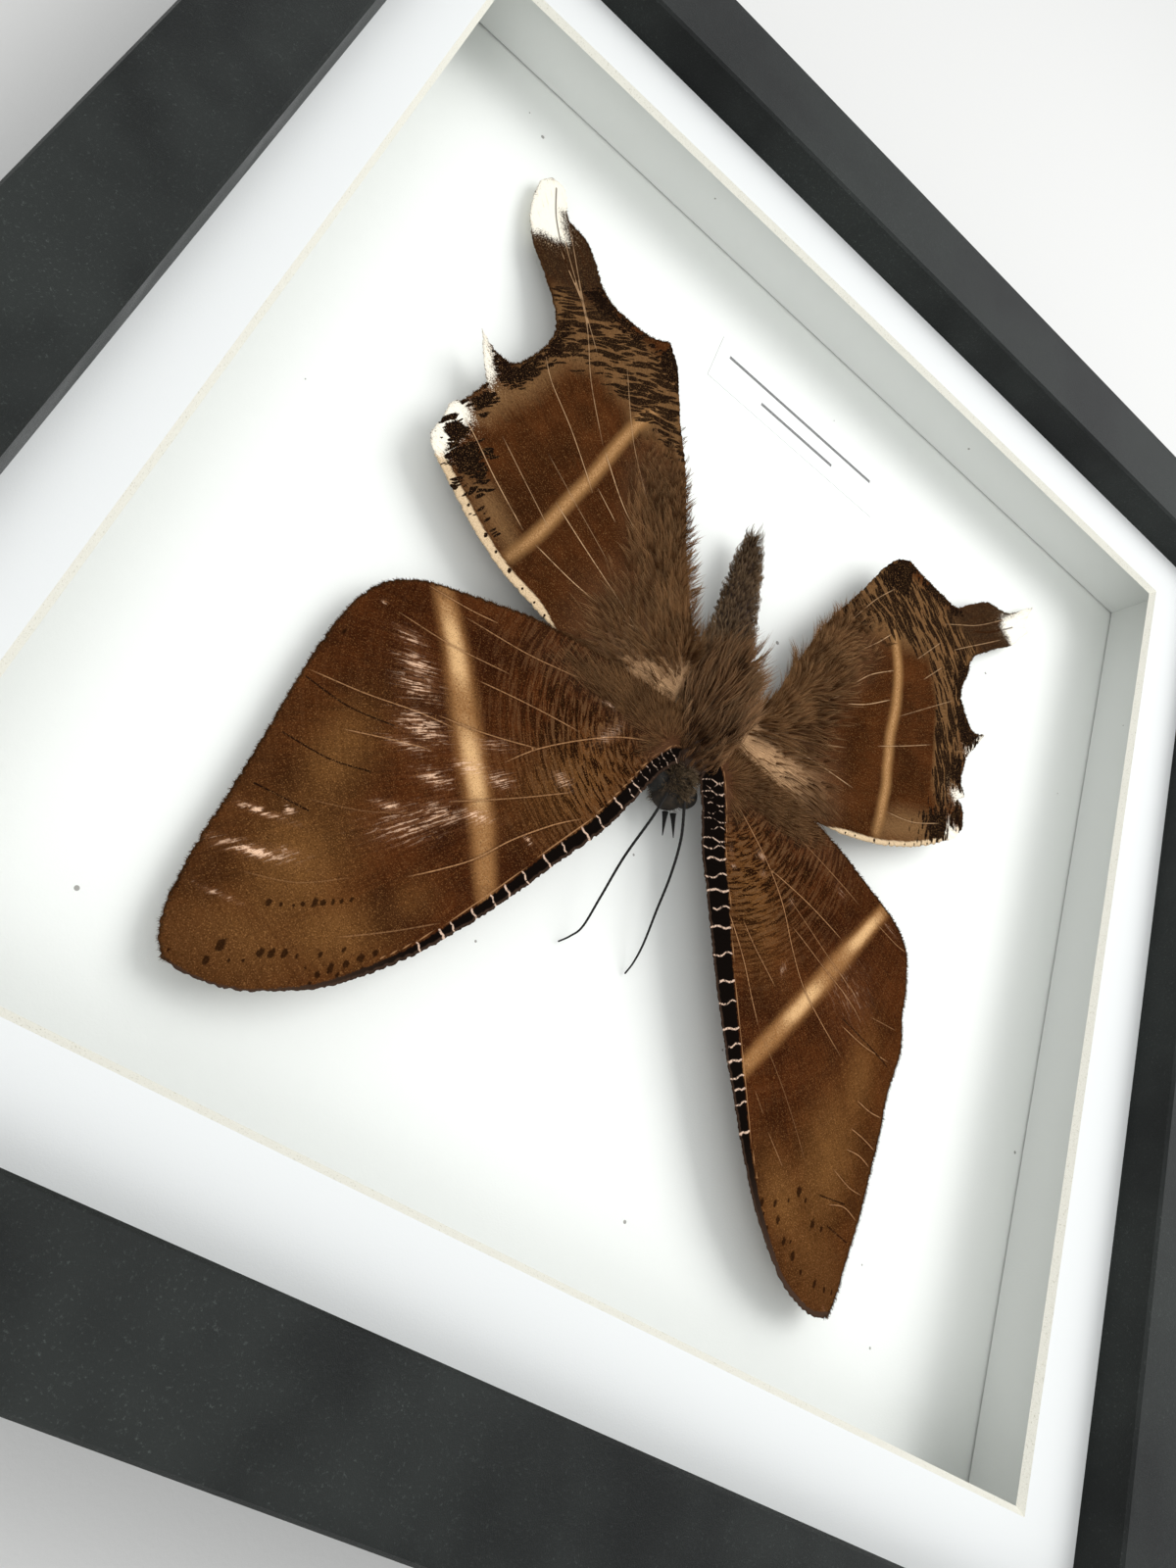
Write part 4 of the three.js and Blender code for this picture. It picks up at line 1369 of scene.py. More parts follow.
@dataclass
class Forewing(Wing):
    """A forewing, with its oblique band, its barred costa and its dark apex dots."""

    band_half: float = 2.0
    glints: list[tuple[float, ...]] = field(default_factory=list)
    bars: list[float] = field(default_factory=list)
    level: float = 9.7
    droop: float = 5.6
    fringe_reach: float = 0.55
    hair_reach: float = 2.6
    strip_widths: tuple[float, ...] = (2.6, 2.4, 2.0, 1.7, 1.3, 0.9, 0.4)
    strip_stops: tuple[float, ...] = (0.0, 0.2, 0.4, 0.5, 0.62, 0.74, 0.84)

    def height(self, out: np.ndarray, y: np.ndarray) -> np.ndarray:
        """The forewing droops towards its outer margin."""
        return self.level - self.droop * np.maximum(0, (out - self.droop_from) / self.droop_reach) ** 2.3

    def bar_gap(self, at: np.ndarray, costa: np.ndarray) -> np.ndarray:
        """Finds the distance to the nearest cream bar across the costal strip.

        Args:
            at: The points in frame x and y, one a row.
            costa: The line of the leading edge.

        Returns:
            The distance at each point in millimetres.
        """
        run = np.concatenate([[0], np.cumsum(np.hypot(*np.diff(costa, axis=0).T))])
        gap = np.full(len(at), 1e3)
        for number, y in enumerate(self.bars):
            near = int(np.abs(costa[:, 1] - y).argmin())
            step = costa[min(near + 1, len(costa) - 1)] - costa[near - 1]
            step = step / np.hypot(*step)
            inward = np.array([step[1], -step[0]]) * self.side.value
            width = float(np.interp(run[near] / run[-1], self.strip_stops, self.strip_widths))
            kink = step * (0.07 if number % 2 else -0.05) * width
            start = inward * width * (0.22 if number % 3 == 1 else 0.04)
            line = costa[near] + np.array([start, inward * width * 0.45 + kink, inward * width * 0.75 - kink,
                                           inward * (width + 0.15)])
            thin = 0.07 * float(smooth_step(y, 27, 20)) + 0.03 * (number % 2)
            gap = np.minimum(gap, line_distance(at, spline(line, 4))[0] + thin)
            if number % 4 == 0 and y > 28:
                fork = np.array([line[1], line[1] - inward * width * 0.3 + step * 0.4])
                gap = np.minimum(gap, line_distance(at, fork)[0] + 0.08)
        return gap

    def marks(self, at: np.ndarray) -> dict[str, np.ndarray]:
        """Works out the forewing's markings.

        Args:
            at: The points in frame x and y, one a row.

        Returns:
            The numbers by name.
        """
        found = self.common(at)
        gap, share, _ = line_distance(at, spline(self.band))
        half = self.band_half * (0.85 + 0.3 * np.sin(share * math.pi))
        ends = np.array(self.band)[[0, -1]]
        past = np.minimum(*(np.hypot(*(at - end).T) for end in ends))
        found["band"] = gap / half
        found["band_show"] = np.where(past < 1.5, 0.75, 1.0)
        found["band_core"] = 0.25 + 0.75 * soft_mask(at, [(*self.band[i], 9, 4, 0, 1) for i in (2, 4)])
        costa = self.run_line(0)
        depth, along, _ = line_distance(at, costa)
        width = np.interp(along, self.strip_stops, self.strip_widths)
        found["strip"] = width - depth
        found["strip_line"] = np.where(along < 0.68, np.abs(width - depth + 0.35), 1.0)
        found["strip_fade"] = smooth_step(along, 0.6, 0.9)
        found["bar"] = self.bar_gap(at, costa)
        found["glint"] = soft_mask(at, self.glints)
        side = self.side.value
        found["apex"] = soft_mask(at, [(side * 57, 75, 10, 6, 0, 1), (side * 62, 60, 2.2, 30, 0, 0.5)])
        radius = found["flow"][:, 0]
        found["ripple"] = smooth_step(radius, 40, 18) * smooth_step(radius, 3, 7) + 0.12
        found["haze"] = soft_mask(at, [(side * 12, 8.5, 15, 3.6, side * 4, 1.1), (side * 6, 13, 5, 4, 0, 1)])
        return found

    def dress_hair(self, tree: HairTree, fringe: Coat, haze: Coat) -> None:
        """Grows the fringe and the flat hair at the wing's root.

        Args:
            tree: The hair tree.
            fringe: The coat along the margin.
            haze: The coat at the root.
        """
        hind = line_distance(self.flat, np.vstack([self.run_line(1), self.run_line(2)]))[0]
        self.add_fringe(tree, fringe, self.fringe_reach, smooth_step(hind, 1.2, 0.6))
        mask = np.clip(self.numbers["haze"], 0, 1)
        growth = smooth_step(mask, 0.15, 0.8) * smooth_step(self.numbers["strip"], -0.8, -2.2)
        comb = self.radial() + np.array([0, -0.12, 0.1])
        soil = self.soil(growth, comb, np.full(len(growth), self.hair_reach))
        join_root(tree.grow(self.name + "_hair", soil, haze), "body_fur")


@dataclass
class Hindwing(Wing):
    """A hindwing, with its band, its furred inner half, its jagged black and white margin and its tail."""

    blacks: list[list[Point]] = field(default_factory=list)
    whites: list[list[Point]] = field(default_factory=list)
    tans: list[list[Point]] = field(default_factory=list)
    hatches: list[tuple[float, ...]] = field(default_factory=list)
    dash_starts: tuple[Point, ...] = ((20, -39), (34, -41), (44, -44), (50, -40), (54, -34))
    costa_width: float = 1.9
    level: float = 7.6
    droop: float = 1.2
    tail_droop: float = 3.2
    fringe_reach: float = 0.4
    fur_reach: float = 5.2
    wave_scale: float = 0.22
    waves: tuple[float, float, float] = (0.8, 0.8, 0.16)

    def height(self, out: np.ndarray, y: np.ndarray) -> np.ndarray:
        """Finds how high the wing stands: it droops a little outwards, and its tail more.

        Args:
            out: The distances out from the body.
            y: The places along the body.

        Returns:
            The heights above the mount board.
        """
        tail = smooth_step(out, 42, 62) * smooth_step(-y, 45, 70)
        share = np.maximum(0, (out - self.droop_from) / self.droop_reach)
        return self.level - self.droop * share**3 - self.tail_droop * tail

    def marks(self, at: np.ndarray) -> dict[str, np.ndarray]:
        """Works out the hindwing's markings.

        Args:
            at: The points in frame x and y, one a row.

        Returns:
            The numbers by name.
        """
        found = self.common(at)
        out = (at[:, 0] - self.body_x) * self.side.value
        y = at[:, 1]
        gap, share, _ = line_distance(at, spline(self.band))
        found["band"] = gap / 1.3
        found["band_show"] = np.interp(share, [0, 0.15, 0.9, 1], [0.5, 0.95, 0.95, 0.5])
        inner = line_distance(at, self.run_line(len(self.runs) - 1))[0]
        radius = found["flow"][:, 0]
        found["inner"] = inner
        found["haze"] = np.maximum(smooth_step(inner, 17, 7) * smooth_step(radius, 52, 38),
                                   smooth_step(radius, 32, 14))
        found["tan"] = patch_depth(at, self.tans)
        found["black"] = patch_depth(at, self.blacks)
        found["white"] = patch_depth(at, self.whites)
        found["hatch"] = soft_mask(at, self.hatches)
        start = np.interp(out, *np.array(self.dash_starts).T)
        zone = smooth_step(y - start, 2.5, -4.0) * smooth_step(y, -59.5, -56) * smooth_step(out, 60, 56)
        found["dash"] = np.clip(zone, 0, 1)
        found["tail"] = smooth_step(y, -54.5, -59) * smooth_step(out, 43, 50)
        costa = line_distance(at, self.run_line(0))[0]
        found["cream"] = self.costa_width * smooth_step(out, 29, 36) - costa
        return found

    def dress_hair(self, tree: HairTree, fringe: Coat, fur: Coat) -> None:
        """Grows the margin's fringe and the long fur from the root along the inner margin.

        Args:
            tree: The hair tree.
            fringe: The coat along the margin.
            fur: The coat on the inner half.
        """
        own = np.vstack([self.run_line(i) for i in range(1, len(self.runs) - 1)])
        away = line_distance(self.flat, own)[0]
        self.add_fringe(tree, fringe, self.fringe_reach, smooth_step(away, 1.2, 0.6))
        radius, inner = self.numbers["flow"][:, 0], self.numbers["inner"]
        near = smooth_step(inner, 15, 2) * smooth_step(radius, 54, 30)
        growth = np.maximum(near, 0.6 * smooth_step(radius, 26, 8))
        ahead = soft_mask(self.flat + self.radial()[:, :2] * 3.0, self.golds)
        growth = growth * (1 - 0.88 * smooth_step(np.maximum(self.numbers["gold"], ahead), 0.3, 0.65))
        comb = self.radial() + self.rim_comb() * (0.9 * smooth_step(inner, 3.4, 0.2))[:, None]
        scale, layer = self.wave_scale, 5.0 * self.side.value
        waves = [tuple(noise.noise_vector(Vector((x * scale, y * scale, layer)))) for x, y in self.flat]
        comb = comb + np.array(waves) * np.array(self.waves) + np.array([0, 0, 0.1])
        reach = self.fur_reach * (1.0 - 0.5 * smooth_step(radius, 26, 46))
        hair = tree.grow(self.name + "_fur", self.soil(growth, comb, reach), fur)
        join_root(hair, "body_fur")


def soft_mask(points: np.ndarray, spots: Iterable[Sequence[float]]) -> np.ndarray:
    """Draws soft spots that have weights.

    Args:
        points: The points in frame x and y, one a row.
        spots: The numbers of each spot, with its weight as the sixth.

    Returns:
        The strongest at each point.
    """
    mask = np.zeros(len(points))
    for *spot, weight in spots:
        mask = np.maximum(mask, weight * soft_spots(points, [spot]))
    return mask


def loft(name: str, sections: Sequence[Sequence[float]], sides: int, shrink: float = 1.0,
         per_step: int = 5) -> bpy.types.Object:
    """A closed body over oval sections.

    Args:
        name: The object's name.
        sections: For each section its y, its middle's x and z, and its half width and half height, in mm.
        sides: The corners of each oval.
        shrink: The share of each oval's size that is kept.
        per_step: How many rings each step between two sections gets.

    Returns:
        The body, in frame millimetres turned into metres.
    """
    rings = spline(sections, per_step)
    turn = np.arange(sides) * 2 * math.pi / sides
    points = []
    for y, x, z, wide, high in rings:
        wide, high = max(wide, 0.05) * shrink, max(high, 0.05) * shrink
        points.append(np.column_stack([x + wide * np.cos(turn), np.full(sides, y), z + high * np.sin(turn)]))
    points.append(rings[[0, -1]][:, [1, 0, 2]])
    faces = []
    for ring in range(len(rings) - 1):
        for i in range(sides):
            a, b = ring * sides + i, ring * sides + (i + 1) % sides
            faces.append((a, b, b + sides, a + sides))
    first, last, base = len(rings) * sides, len(rings) * sides + 1, (len(rings) - 1) * sides
    for i in range(sides):
        faces.append((first, (i + 1) % sides, i))
        faces.append((last, base + i, base + (i + 1) % sides))
    body = make_mesh(name, np.vstack(points) * MM, faces)
    smooth_shade(body)
    return body


@dataclass(frozen=True)
class Pelt:
    """How the hair of one part of the body lies and grows, with lengths in millimetres.

    The hair follows the main way, stands off the skin and waves. Growth and reach give the share of the full
    density and the length for points in millimetres of the frame.
    """

    name: str
    slot: str
    main: tuple[float, float, float]
    stand: float
    wave_scale: float
    waves: tuple[float, float, float]
    growth: Callable[[np.ndarray], np.ndarray]
    reach: Callable[[np.ndarray], np.ndarray]

    def soil(self, body: bpy.types.Object) -> bpy.types.Object:
        """Copies a body and keeps the numbers for the hair tree on the copy.

        Args:
            body: The body that the hair grows from.

        Returns:
            The copy.
        """
        copy = bpy.data.objects.new(body.name + "_ground", body.data.copy())
        bpy.context.scene.collection.objects.link(copy)
        at = np.array([tuple(v.co) for v in copy.data.vertices]) / MM
        normals = np.array([tuple(v.normal) for v in copy.data.vertices])
        swirl = np.array([tuple(noise.noise_vector(Vector(p) * self.wave_scale)) for p in at])
        comb = np.array(self.main) + normals * self.stand + swirl * np.array(self.waves)
        keep_numbers(copy, {"comb": comb, "growth": self.growth(at), "reach": self.reach(at) * MM})
        return copy


@dataclass
class MothBody:
    """The moth's thorax, abdomen, head, antennae and palps. Heights are above the mount board."""

    body_x: float = 0.5
    board_z: float = field(default_factory=lambda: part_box("mount_board")[1].z / MM)
    thorax: tuple[tuple[float, ...], ...] = (
        (13.4, 0.3, 8.0, 2.6, 2.4), (11.5, 0.2, 8.2, 4.8, 3.9), (8, -0.1, 8.4, 6.0, 4.7),
        (3, -0.5, 8.4, 6.7, 5.0), (-2, -0.8, 8.1, 6.8, 4.8), (-7, -0.8, 7.6, 6.0, 4.3),
        (-10.5, -0.5, 7.1, 4.9, 3.9), (-12.6, -0.2, 6.8, 3.6, 3.2))
    abdomen: tuple[tuple[float, ...], ...] = (
        (-12.0, -0.2, 6.6, 3.9, 3.7), (-16, -0.1, 6.4, 4.0, 3.8), (-21, 0.1, 6.1, 3.6, 3.4),
        (-27, 0.6, 5.8, 3.1, 2.9), (-33, 1.1, 5.5, 2.4, 2.2), (-37.5, 1.5, 5.3, 1.4, 1.3),
        (-40.2, 1.8, 5.2, 0.5, 0.5))
    head: tuple[tuple[float, ...], ...] = (
        (20.0, 0.9, 6.0, 0.9, 0.9), (19.2, 0.9, 6.2, 2.2, 1.9), (17.4, 0.8, 6.6, 3.0, 2.6),
        (15.4, 0.7, 6.9, 3.0, 2.8), (13.2, 0.5, 7.2, 2.2, 2.2))
    eyes: tuple[tuple[float, ...], ...] = ((-2.1, 16.2, 6.6), (3.7, 16.5, 6.6))
    eye_radius: float = 2.1

    def shift(self, sections: Iterable[Sequence[float]]) -> list[list[float]]:
        """Sections moved from the moth's own middle into the frame."""
        return [[y, x + self.body_x, z + self.board_z, wide, high] for y, x, z, wide, high in sections]

    def dress_part(self, body: bpy.types.Object, node: str, skin: bpy.types.Material, pelt: Pelt,
                   tree: HairTree, coat: Coat) -> None:
        """Gives one part of the body its skin and its hair.

        Args:
            body: The part's skin.
            node: The node that it stands for.
            skin: The skin's material.
            pelt: How the part's hair lies and grows.
            tree: The hair tree.
            coat: The hair's sizes and finish.
        """
        dress(body, skin)
        hair = tree.grow(pelt.name, pelt.soil(body), coat)
        join_root(body, pelt.slot, node)
        join_root(hair, pelt.slot)

    def build_thorax(self, tree: HairTree, skin: bpy.types.Material, coat: Coat) -> None:
        """Builds the thorax under its long swept fur.

        Args:
            tree: The hair tree.
            skin: The material under the fur.
            coat: The fur's sizes and finish.
        """
        pelt = Pelt("thorax_fur", "body_fur", main=(-0.22, -1.0, 0.0), stand=0.28, wave_scale=0.32,
                    waves=(0.85, 0.3, 0.4), growth=lambda at: np.ones(len(at)),
                    reach=lambda at: 3.4 + 4.4 * smooth_step(at[:, 1], 14, 4))
        body = loft("thorax_skin", self.shift(self.thorax), 36, 0.74)
        self.dress_part(body, "thorax", skin, pelt, tree, coat)

    def build_abdomen(self, tree: HairTree, skin: bpy.types.Material, coat: Coat) -> None:
        """Builds the abdomen under its short flat hair, ragged at its tip.

        Args:
            tree: The hair tree.
            skin: The material under the hair.
            coat: The hair's sizes and finish.
        """
        pelt = Pelt("abdomen_hair", "body_fur", main=(0.05, -1.0, 0.0), stand=0.35, wave_scale=0.5,
                    waves=(0.6, 0.6, 0.6), growth=lambda at: 0.6 + 0.4 * smooth_step(at[:, 1], -20, -36),
                    reach=lambda at: (1.8 + 0.9 * smooth_step(np.abs(at[:, 1] + 27), 7, 13)
                                      + 1.6 * smooth_step(at[:, 1], -38.6, -40.2)))
        body = loft("abdomen_skin", self.shift(self.abdomen), 32, 0.86)
        self.dress_part(body, "abdomen", skin, pelt, tree, coat)

    def build_head(self, tree: HairTree, skin: bpy.types.Material, eye: bpy.types.Material,
                   coat: Coat) -> None:
        """Builds the head with its fuzzy crest, and the two domed eyes.

        Args:
            tree: The hair tree.
            skin: The head's horn.
            eye: The eyes' horn.
            coat: The crest's sizes and finish.
        """
        middle = self.body_x + self.head[2][1]
        pelt = Pelt("head_fuzz", "head_dark", main=(-0.1, 0.25, 0.1), stand=0.8, wave_scale=0.9,
                    waves=(0.9, 0.9, 0.9), reach=lambda at: np.full(len(at), 1.5),
                    growth=lambda at: (smooth_step(np.abs(at[:, 0] - middle), 2.9, 1.4)
                                       * smooth_step(at[:, 1], 19.0, 17.2)))
        self.dress_part(loft("head_skin", self.shift(self.head), 28), "head", skin, pelt, tree, coat)
        for name, (x, y, z) in zip(("eye_left", "eye_right"), self.eyes):
            rings = [(y + self.eye_radius * math.cos(a), x, z, self.eye_radius * math.sin(a),
                      self.eye_radius * math.sin(a)) for a in np.linspace(0.05, math.pi - 0.05, 15)]
            ball = loft(name, self.shift(rings), 32, per_step=2)
            dress(ball, eye)
            join_root(ball, "head_dark")

    def build_feelers(self, horn: bpy.types.Material) -> None:
        """Builds the two antennae and the two palps as tapering tubes.

        Args:
            horn: Their material.
        """
        right = ((2.6, 19.0, 8.9), (3.4, 24, 8.6), (4.9, 32, 7.2), (5.2, 39, 5.2), (5.2, 44, 3.2),
        (6.0, 46, 2.0),
                 (6.9, 47.3, 0.6))
        left = ((-1.0, 18.4, 8.9), (-3.0, 24, 8.4), (-4.2, 30, 7.2), (-5.0, 36, 5.4), (-6.0, 41, 3.4),
                (-6.4, 44, 1.8), (-6.3, 46, 0.6))
        self.tube("antenna_right_thread", right, 0.25, 0.13, "antenna_right", horn)
        self.tube("antenna_left_thread", left, 0.25, 0.13, "antenna_left", horn)
        for name, (x, y, z, turn) in {"palp_right": (-0.6, 20.5, 5.2, 0.25),
                                      "palp_left": (-2.2, 19.9, 5.2, 0.4)}.items():
            way = np.array([-math.sin(turn), math.cos(turn), 0.0])
            line = [tuple(np.array([x, y, z]) + way * reach) for reach in (-0.6, 0.0, 1.0, 2.2, 3.5)]
            self.tube(name + "_spike", line, 0.55, 0.06, name, horn)

    def tube(self, name: str, line: Sequence[Sequence[float]], start: float, end: float, node: str,
             horn: bpy.types.Material) -> None:
        """A ringed tube that narrows along a smooth line.

        Args:
            name: The piece's name.
            line: The line's points, from the moth's middle and the board.
            start: The radius at the head.
            end: The radius at the tip.
            node: The node that it stands for.
            horn: Its material.
        """
        path = spline(line, 16) + np.array([self.body_x, 0, self.board_z])
        sides, points = 10, []
        ways = np.gradient(path, axis=0)
        ways /= np.linalg.norm(ways, axis=1)[:, None]
        across = np.cross(ways, (0, 0, 1))
        across /= np.linalg.norm(across, axis=1)[:, None]
        upward = np.cross(across, ways)
        for number, centre in enumerate(path):
            share = number / (len(path) - 1)
            radius = (start + (end - start) * share) * (1.0 + 0.08 * (number % 2))
            for corner in range(sides):
                angle = 2 * math.pi * corner / sides
                way = math.cos(angle) * across[number] + math.sin(angle) * upward[number]
                points.append(centre + radius * way)
        faces = [tuple(range(sides)), tuple((len(path) - 1) * sides + i for i in range(sides))[::-1]]
        for ring in range(len(path) - 1):
            for i in range(sides):
                a, b = ring * sides + i, ring * sides + (i + 1) % sides
                faces.append((a, a + sides, b + sides, b))
        piece = make_mesh(name, np.array(points) * MM, faces)
        smooth_shade(piece)
        dress(piece, horn)
        join_root(piece, "head_dark", node)


@dataclass
class FrameLooks:
    """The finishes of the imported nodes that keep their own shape."""

    nodes: dict[str, bpy.types.Object]

    def paint_all(self) -> None:
        """Gives every node of the frame, the boards and the fixings its material."""
        black, mat, card = SatinBlack().build(), MatCard().build(), WhiteCard().build()
        board_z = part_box("mount_board")[1].z / MM
        # The spacers get a darker copy of the white card: painted shade on the walls of the box.
        spacer = WhiteCard("spacer_card", paint(226, 228, 224), foot_z=board_z).build()
        metal = ZincSteel().build()
        finishes = {"mat": (mat, "mat_white"), "mount_board": (card, "board_white"),
                    "label_slip": (LabelPaper().build(), "label_paper"),
                    "backing_panel": (Hardboard().build(), "panel_brown")}
        for side in ("top", "bottom", "left", "right"):
            finishes["rail_" + side] = (black, "frame_black")
            finishes["spacer_" + side] = (spacer, "board_white")
        for name in ("hanger", "hanger_rivet_left", "hanger_rivet_right", "mounting_pin"):
            finishes[name] = (metal, "steel")
        for number in range(1, 9):
            finishes[f"point_{number}"] = (metal, "steel")
        for name, (material, slot) in finishes.items():
            dress(self.nodes[name], material)
            log.info("%s: %s", name, material.name)


@dataclass
class Studio:
    """The pale table, the soft light and the camera."""

    place: tuple[float, float, float] = (0.0864, 0.1062, 0.1602)
    turn: tuple[float, float, float] = (16.39, -31.03, -155.21)
    lens: float = 26.415
    shift: tuple[float, float] = (0.0373, -0.028)
    sky: float = 0.78
    sky_colour: Colour = (0.97, 0.985, 1.0, 1.0)
    key_place: tuple[float, float, float] = (-0.26, -0.22, 0.52)
    key_power: float = 2.35
    key_size: float = 0.45
    fill_place: tuple[float, float, float] = (0.35, 0.6, 0.75)
    fill_power: float = 2.5
    fill_size: float = 0.7
    table_half: float = 1.6
    table_z: float = -0.0002

    def lay_table(self) -> None:
        """Lays the table under the frame."""
        half, z = self.table_half, self.table_z
        table = make_mesh("table", [(-half, -half, z), (half, -half, z), (half, half, z), (-half, half, z)],
                          [(0, 1, 2, 3)])
        dress(table, TablePaper().build())

    def add_lamp(self, name: str, place: Sequence[float], power: float, size: float) -> None:
        """Adds a square lamp that faces the middle of the frame.

        Args:
            name: The lamp's name.
            place: Where it hangs.
            power: Its power in watts.
            size: The length of its side.
        """
        data = bpy.data.lights.new(name, "AREA")
        data.energy, data.size = power, size
        lamp = bpy.data.objects.new(name, data)
        lamp.location = place
        lamp.rotation_euler = (Vector((0, 0, 0.02)) - Vector(place)).to_track_quat("-Z", "Y").to_euler()
        bpy.context.scene.collection.objects.link(lamp)

    def light(self) -> None:
        """Sets the even sky and the soft lamps."""
        world = bpy.data.worlds.new("studio")
        world.use_nodes = True
        sky = world.node_tree.nodes["Background"]
        sky.inputs["Color"].default_value = self.sky_colour
        sky.inputs["Strength"].default_value = self.sky
        bpy.context.scene.world = world
        self.add_lamp("key", self.key_place, self.key_power, self.key_size)
        self.add_lamp("fill", self.fill_place, self.fill_power, self.fill_size)

    def aim(self) -> None:
        """Places the camera as the photograph was taken."""
        data = bpy.data.cameras.new("camera")
        data.sensor_fit, data.sensor_width, data.lens = "AUTO", 36.0, self.lens
        data.shift_x, data.shift_y = self.shift
        data.clip_start = 0.005
        camera = bpy.data.objects.new("camera", data)
        camera.location = self.place
        camera.rotation_euler = [math.radians(a) for a in self.turn]
        bpy.context.scene.collection.objects.link(camera)
        bpy.context.scene.camera = camera
        bpy.context.scene.view_settings.view_transform = "Standard"


FOREWING_RIGHT = Forewing(
    name="forewing_right", side=Side.RIGHT, root=(6.0, 11.0),
    runs=[
        [(3.0, 13.6), (5.5, 17.4), (8.3, 24.5), (11.5, 32), (16.2, 40), (20.7, 48), (25.7, 56), (31.5, 64),
         (39.3, 72),
         (45.7, 76), (51, 78.3), (56, 78.9), (59.8, 78.4)],
        [(59.8, 78.4), (61.7, 75.5), (62.8, 71), (63.1, 64), (62.7, 54), (62.5, 44), (62.4, 34), (62, 27),
         (61, 20.5), (58.6, 15), (54.5, 11.7), (50, 10)],
        [(50, 10), (42, 8), (34, 6.3), (22, 5.2), (8, 4.5), (3, 4.6)],
    ],
    band=[(25.5, 50.5), (30, 42), (35, 34.5), (40, 27), (45, 19), (50.8, 11)],
    band_half=2.0,
    veins=[
        ([(8, 12.5), (15, 16), (21, 20.5), (27, 26), (31, 31)], 0.9),
        ([(16, 32), (20, 35.5), (25, 41), (29, 46.5), (33, 50.5), (37, 54)], 1.0),
        ([(19, 29), (25, 33.5), (30, 37), (36, 41)], 0.7),
        ([(27, 26), (35, 28.5), (43, 30)], 0.8),
        ([(22, 19.5), (32, 20.5), (40, 21.5)], 0.8),
        ([(36, 17.7), (46, 18.7), (55, 18.2)], 0.7),
        ([(12, 8), (22, 10.5), (29, 12), (36, 13), (46, 13.2)], 0.8),
        ([(41, 11), (46, 11.6), (53, 11.6)], 0.9),
        ([(42, 35.5), (47, 37), (54, 39.3)], 0.8),
        ([(40, 30.5), (46, 31.2), (54, 32.8), (62, 33.6)], 0.8),
        ([(30, 57.5), (36, 62), (42, 66)], 0.4),
        ([(38, 44), (46, 48.5), (54, 51)], 0.25),
        ([(44, 58), (50, 62), (57, 64)], 0.25),
    ],
    dark_veins=[[(48, 43), (54, 44.3), (61, 44)], [(48, 35), (55, 35.8), (62, 34.8)], [(53, 52.4),
    (61, 52.4)]],
    dots=[
        (54.7, 73.7, 0.8), (55.5, 76.2, 0.55), (50, 72.3, 0.65), (48.7, 71.8, 0.6), (47.2, 71, 0.6),
        (44, 71.5, 0.3), (41, 70, 0.6), (38, 67, 0.7), (52, 66, 0.5), (49, 65, 0.3), (46.7, 63.3, 0.6),
        (45.7, 62.8, 0.5), (42.5, 60.6, 0.4), (40.5, 67, 0.4), (36.5, 65.5, 0.5), (60, 77, 0.3),
        (43, 69, 0.4), (53, 75, 0.3), (60.5, 25.5, 0.4), (50.5, 65.6, 0.35), (48, 64.2, 0.4),
        (44.6, 62.1, 0.4),
        (43.6, 61.4, 0.35), (45.6, 70.6, 0.35), (42.2, 71.5, 0.5), (39.4, 68.6, 0.55), (39.8, 70.4, 0.4),
        (37.2, 68.2, 0.4), (35.2, 66.8, 0.3), (42.6, 73.1, 0.4), (51.4, 74.2, 0.3),
    ],
    golds=[
        (51.5, 60, 7, 11, 8, 1.0), (53, 44, 4.5, 10, 0, 0.9), (43, 66, 8, 5, 30, 0.9),
        (19, 27, 11, 6, 55, 0.7),
        (53, 72, 8, 5, 0, 0.8), (35, 57, 4, 3, 60, 0.4),
    ],
    glints=[
        (31.5, 40.8, 2.2, 0.9, 20, 1.0), (30.5, 34, 2.0, 1.2, 20, 0.8), (35.5, 34.5, 2.5, 1.2, 20, 0.8),
        (39.5, 39, 2.5, 1.2, 10, 0.9), (43.5, 46.3, 2.0, 0.8, 15, 0.9), (40, 47.5, 5, 2, 35, 0.6),
        (37, 44, 4, 2, 35, 0.65), (44.5, 33, 3.5, 2, 5, 0.9), (45, 36.5, 3, 1, 10, 0.6),
        (47.5, 27.5, 3, 2, 0, 0.8), (49, 24.5, 3, 1.5, 0, 0.8), (52, 21, 2.2, 1.0, 0, 0.8),
        (57.6, 17.8, 0.4, 0.3, 0, 1.5), (57, 60.8, 4.5, 0.8, 12, 1.1), (53, 58.8, 2, 0.5, 15, 0.8),
        (58.5, 55.5, 3.2, 0.5, 8, 1.0), (55.5, 53.5, 0.8, 0.8, 0, 0.9), (19, 12.2, 1.4, 0.4, 0, 1.3),
        (21.3, 28.3, 1.6, 1.0, 0, 0.7), (17, 16.5, 3.5, 1.2, 60, 0.5), (22.8, 39.8, 0.8, 0.4, -20, 1.0),
        (34, 29.7, 3, 1, 30, 0.5), (58, 68, 3, 0.3, 3, 0.7),
    ],
    bars=[13.8, 14.7, 15.6, 16.6, 17.6, 18.7, 20, 21.3, 22.6, 24, 26.5, 31, 34.5, 38.5, 42, 45.5, 48.5, 51,
          54.7, 57.5, 59.5, 62.5],
)

